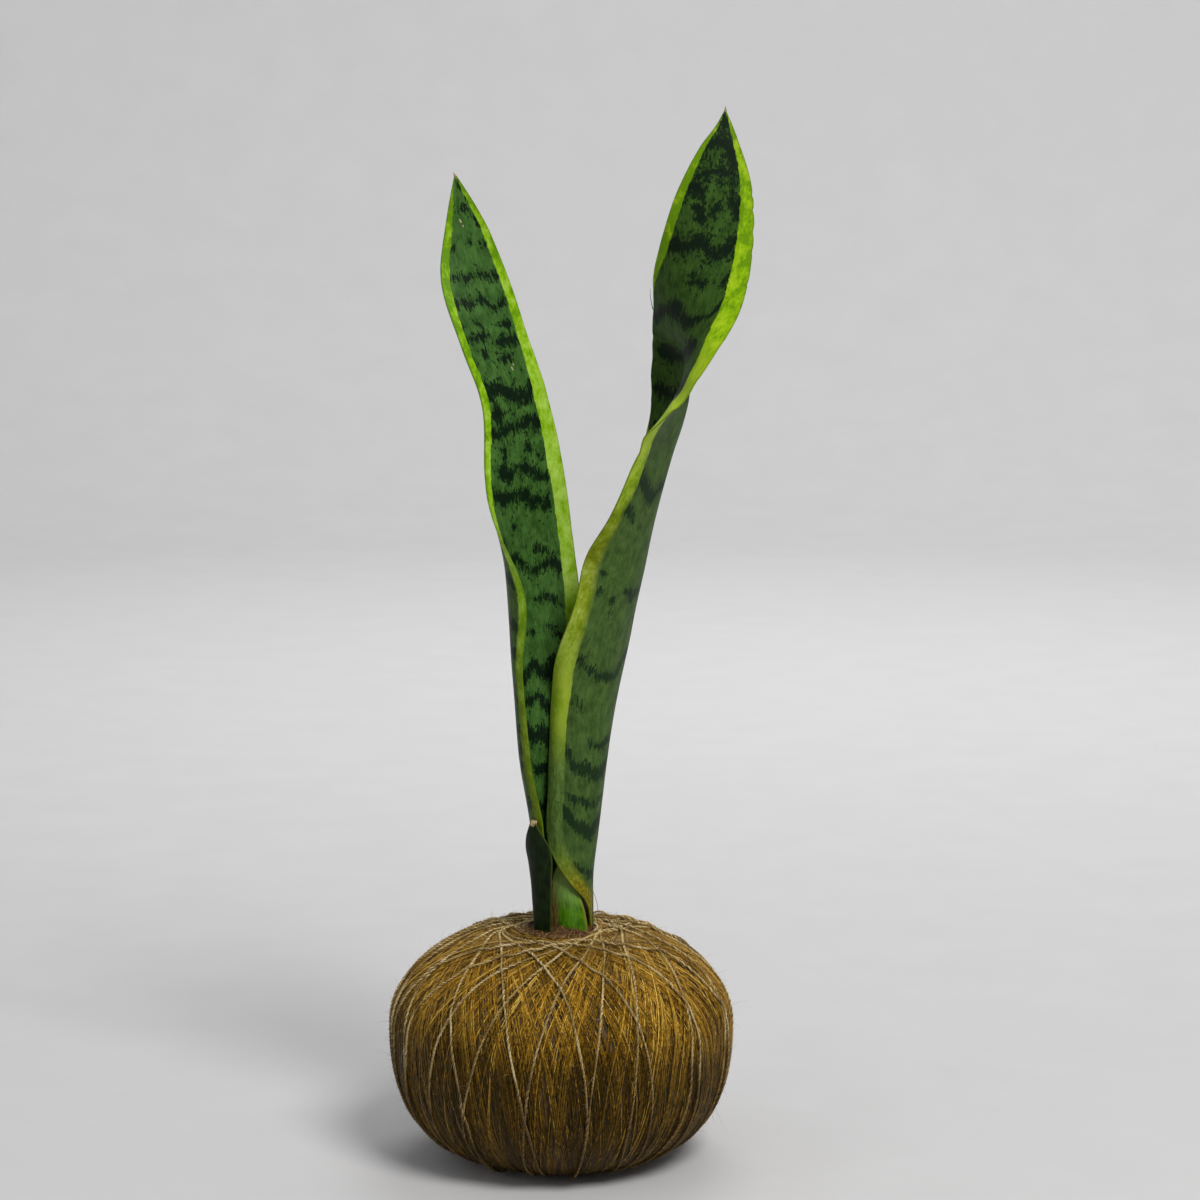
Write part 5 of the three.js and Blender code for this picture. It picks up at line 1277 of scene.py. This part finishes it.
n_f = 620
r_ = 21.4 * np.sqrt(g9.random(n_f))
a_ = g9.random(n_f) * 2 * PI
cx, cy = r_ * np.sin(a_), -r_ * np.cos(a_)
head = np.where(r_ > 15, a_ + PI / 2 + g9.normal(0, 0.5, n_f), g9.random(n_f) * 2 * PI)
ln_ = 2.5 + 6.5 * g9.random(n_f)
bend = g9.normal(0, 0.09, n_f)
s = np.linspace(-0.5, 0.5, 10)[None, :]
hd = head[:, None] + bend[:, None] * s * ln_[:, None]
fx = cx[:, None] + np.cumsum(np.cos(hd), 1) * ln_[:, None] / 10 - np.cos(head)[:, None] * ln_[:, None] / 2
fy = cy[:, None] + np.cumsum(np.sin(hd), 1) * ln_[:, None] / 10 - np.sin(head)[:, None] * ln_[:, None] / 2
rad_f = np.hypot(fx, fy)
shrink = np.minimum(1, 21.7 / np.maximum(rad_f, 1e-6))
fx, fy = fx * shrink, fy * shrink
fz_ = soil_height(fx, fy) + 0.12 + 0.9 * g9.random(n_f)[:, None] ** 2 * (1 - (2 * s) ** 2) + 0.25 * (noise(94, fx * 0.8, fy * 0.8) - 0.4)
Pf = np.stack([fx, fy, fz_], -1)
Nf = np.zeros_like(Pf)
Nf[..., 2] = 1
rf = (0.045 + 0.10 * g9.random(n_f) ** 2)[:, None] * (1 - 0.5 * (2 * np.abs(s)) ** 3)
V, qd, tr = tubes(Pf, Nf, rf, 3)
fib = Merge()
fib.add(V, qd, tr, tone=per_point(g9.random(n_f), 10, 3))
fibre_mat = Mat("soil_fibre")
tn = fibre_mat.attr("tone")
fibre_mat.set(Base_Color=fibre_mat.ramp(tn, [(0.0, srgb(44, 26, 10)), (0.45, srgb(96, 62, 24)), (0.8, srgb(150, 108, 48)), (1.0, srgb(200, 168, 104))]), Roughness=0.75)
ob = fib.make("soil_fibres")
dress(ob, fibre_mat, "soil", "root_ball")

# ------------------------------------------------------------------ rhizome, hidden under the soil
rz = Mat("rhizome_bark")
p = rz.position()
b1 = rz.noise(p, 0.5, 4.0, 0.6)
rz.set(Base_Color=rz.ramp(b1, [(0.3, srgb(120, 84, 44)), (0.5, srgb(170, 130, 80)), (0.7, srgb(206, 176, 122))]), Roughness=0.8, Normal=rz.bump(b1, 0.6, 0.8))
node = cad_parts["rhizome"]
node.data.materials.clear()
node.data.materials.append(rz.mat)

# ------------------------------------------------------------------ dry husk fibres between the stub and the sheath
g5 = np.random.default_rng(29)
n_h = 70
x0 = -5.6 + 3.6 * g5.random(n_h)
y0 = -14.2 + 4.4 * g5.random(n_h)
z0 = 104.2 + 1.5 * g5.random(n_h)
top = 5 + 21 * g5.random(n_h) ** 1.5
s = np.linspace(0, 1, 14)[None, :]
leanx = g5.normal(0, 1.6, n_h)[:, None]
hx = x0[:, None] + leanx * s + (0.9 * g5.normal(0, 1, n_h))[:, None] * np.sin(PI * s)
hy = y0[:, None] + 0.05 * top[:, None] * s - 0.5 * np.sin(PI * s)
hz = z0[:, None] + top[:, None] * s
Pf = np.stack([hx, hy, hz], -1)
Nf = np.zeros_like(Pf)
Nf[..., 1] = -1
rf = (0.07 + 0.12 * g5.random(n_h))[:, None] * (1 - 0.6 * s)
V, qd, tr = tubes(Pf, Nf, rf, 4)
hk = Merge()
hk.add(V, qd, tr, tone=per_point(g5.random(n_h) * 0.8, 14, 4))
# one stray dry fibre to the right of the plant
s = np.linspace(0, 1, 18)
Pf = np.stack([13.7 + 3.0 * np.sin(PI * 0.5 * np.minimum(1, s * 1.8)) - 0.9 * s * s, -6.0 - 0.8 * s, 123.2 - 19.0 * s], -1)[None]
Nf = np.zeros_like(Pf)
Nf[..., 1] = -1
V, qd, tr = tubes(Pf, Nf, 0.16 * (1 - 0.3 * s)[None], 4)
hk.add(V, qd, tr, tone=0.62)
ob = hk.make("husk_fibres")
dress(ob, fibre_mat, "rhizome_bark", "root_ball")

# ------------------------------------------------------------------ stage and light
seg = 96
th = np.linspace(0, 2 * PI, seg, endpoint=False)
prof = [(0.0, 0.0), (0.4, 0.0), (1.2, 0.0), (2.2, 0.0)]
prof += [(2.2 + 0.9 * math.sin(a), 0.9 - 0.9 * math.cos(a)) for a in np.linspace(0.1, PI / 2, 12)]
prof += [(3.1, 1.6), (3.1, 2.6)]
rows = [[(0.0, 0.0, 0.0)]] + [[(r * math.sin(t), -r * math.cos(t), z) for t in th] for r, z in prof[1:]]
verts = [v for row in rows for v in row]
faces = [(0, 1 + k, 1 + (k + 1) % seg) for k in range(seg)]
for i in range(1, len(prof) - 1):
    a0, b0 = 1 + (i - 1) * seg, 1 + i * seg
    faces += [(a0 + k, b0 + k, b0 + (k + 1) % seg, a0 + (k + 1) % seg) for k in range(seg)]
me = bpy.data.meshes.new("floor")
me.from_pydata(verts, [], faces)
me.polygons.foreach_set("use_smooth", np.ones(len(me.polygons), bool))
floor = bpy.data.objects.new("floor", me)
bpy.context.scene.collection.objects.link(floor)
fm = Mat("floor")
fp = fm.noise(fm.position(), 0.02, 2.0, 0.5)
fm.set(Base_Color=fm.ramp(fp, [(0.0, (0.56, 0.556, 0.558, 1)), (1.0, (0.60, 0.595, 0.597, 1))]), Roughness=0.9)
fm.bsdf.inputs["Specular IOR Level"].default_value = 0.1
floor.data.materials.append(fm.mat)

world = bpy.data.worlds.new("world")
bpy.context.scene.world = world
world.use_nodes = True
bg = world.node_tree.nodes["Background"]
bg.inputs["Color"].default_value = (0.93, 0.96, 1.0, 1.0)
bg.inputs["Strength"].default_value = 0.42


def area(name, loc, target, size, power, colour=(1, 1, 1)):
    data = bpy.data.lights.new(name, "AREA")
    data.shape = "DISK"
    data.size = size
    data.energy = power
    data.color = colour
    ob = bpy.data.objects.new(name, data)
    bpy.context.scene.collection.objects.link(ob)
    ob.location = loc
    from mathutils import Vector

    ob.rotation_mode = "QUATERNION"
    ob.rotation_quaternion = (Vector(loc) - Vector(target)).to_track_quat("Z", "Y")
    return ob


area("key", (0.75, -1.25, 1.75), (0.0, 0.0, 0.16), 0.9, 36.0, (1.0, 0.985, 0.96))
area("fill", (-1.6, -1.2, 1.0), (0.0, 0.0, 0.2), 1.4, 2.6, (0.98, 0.99, 1.0))
area("back", (0.2, 1.2, 1.9), (0.0, 0.0, 0.25), 1.2, 10.0, (1.0, 1.0, 1.0))
area("wall", (0.3, 1.2, 1.9), (0.3, 3.1, 0.6), 1.6, 26.0, (1.0, 1.0, 1.0))
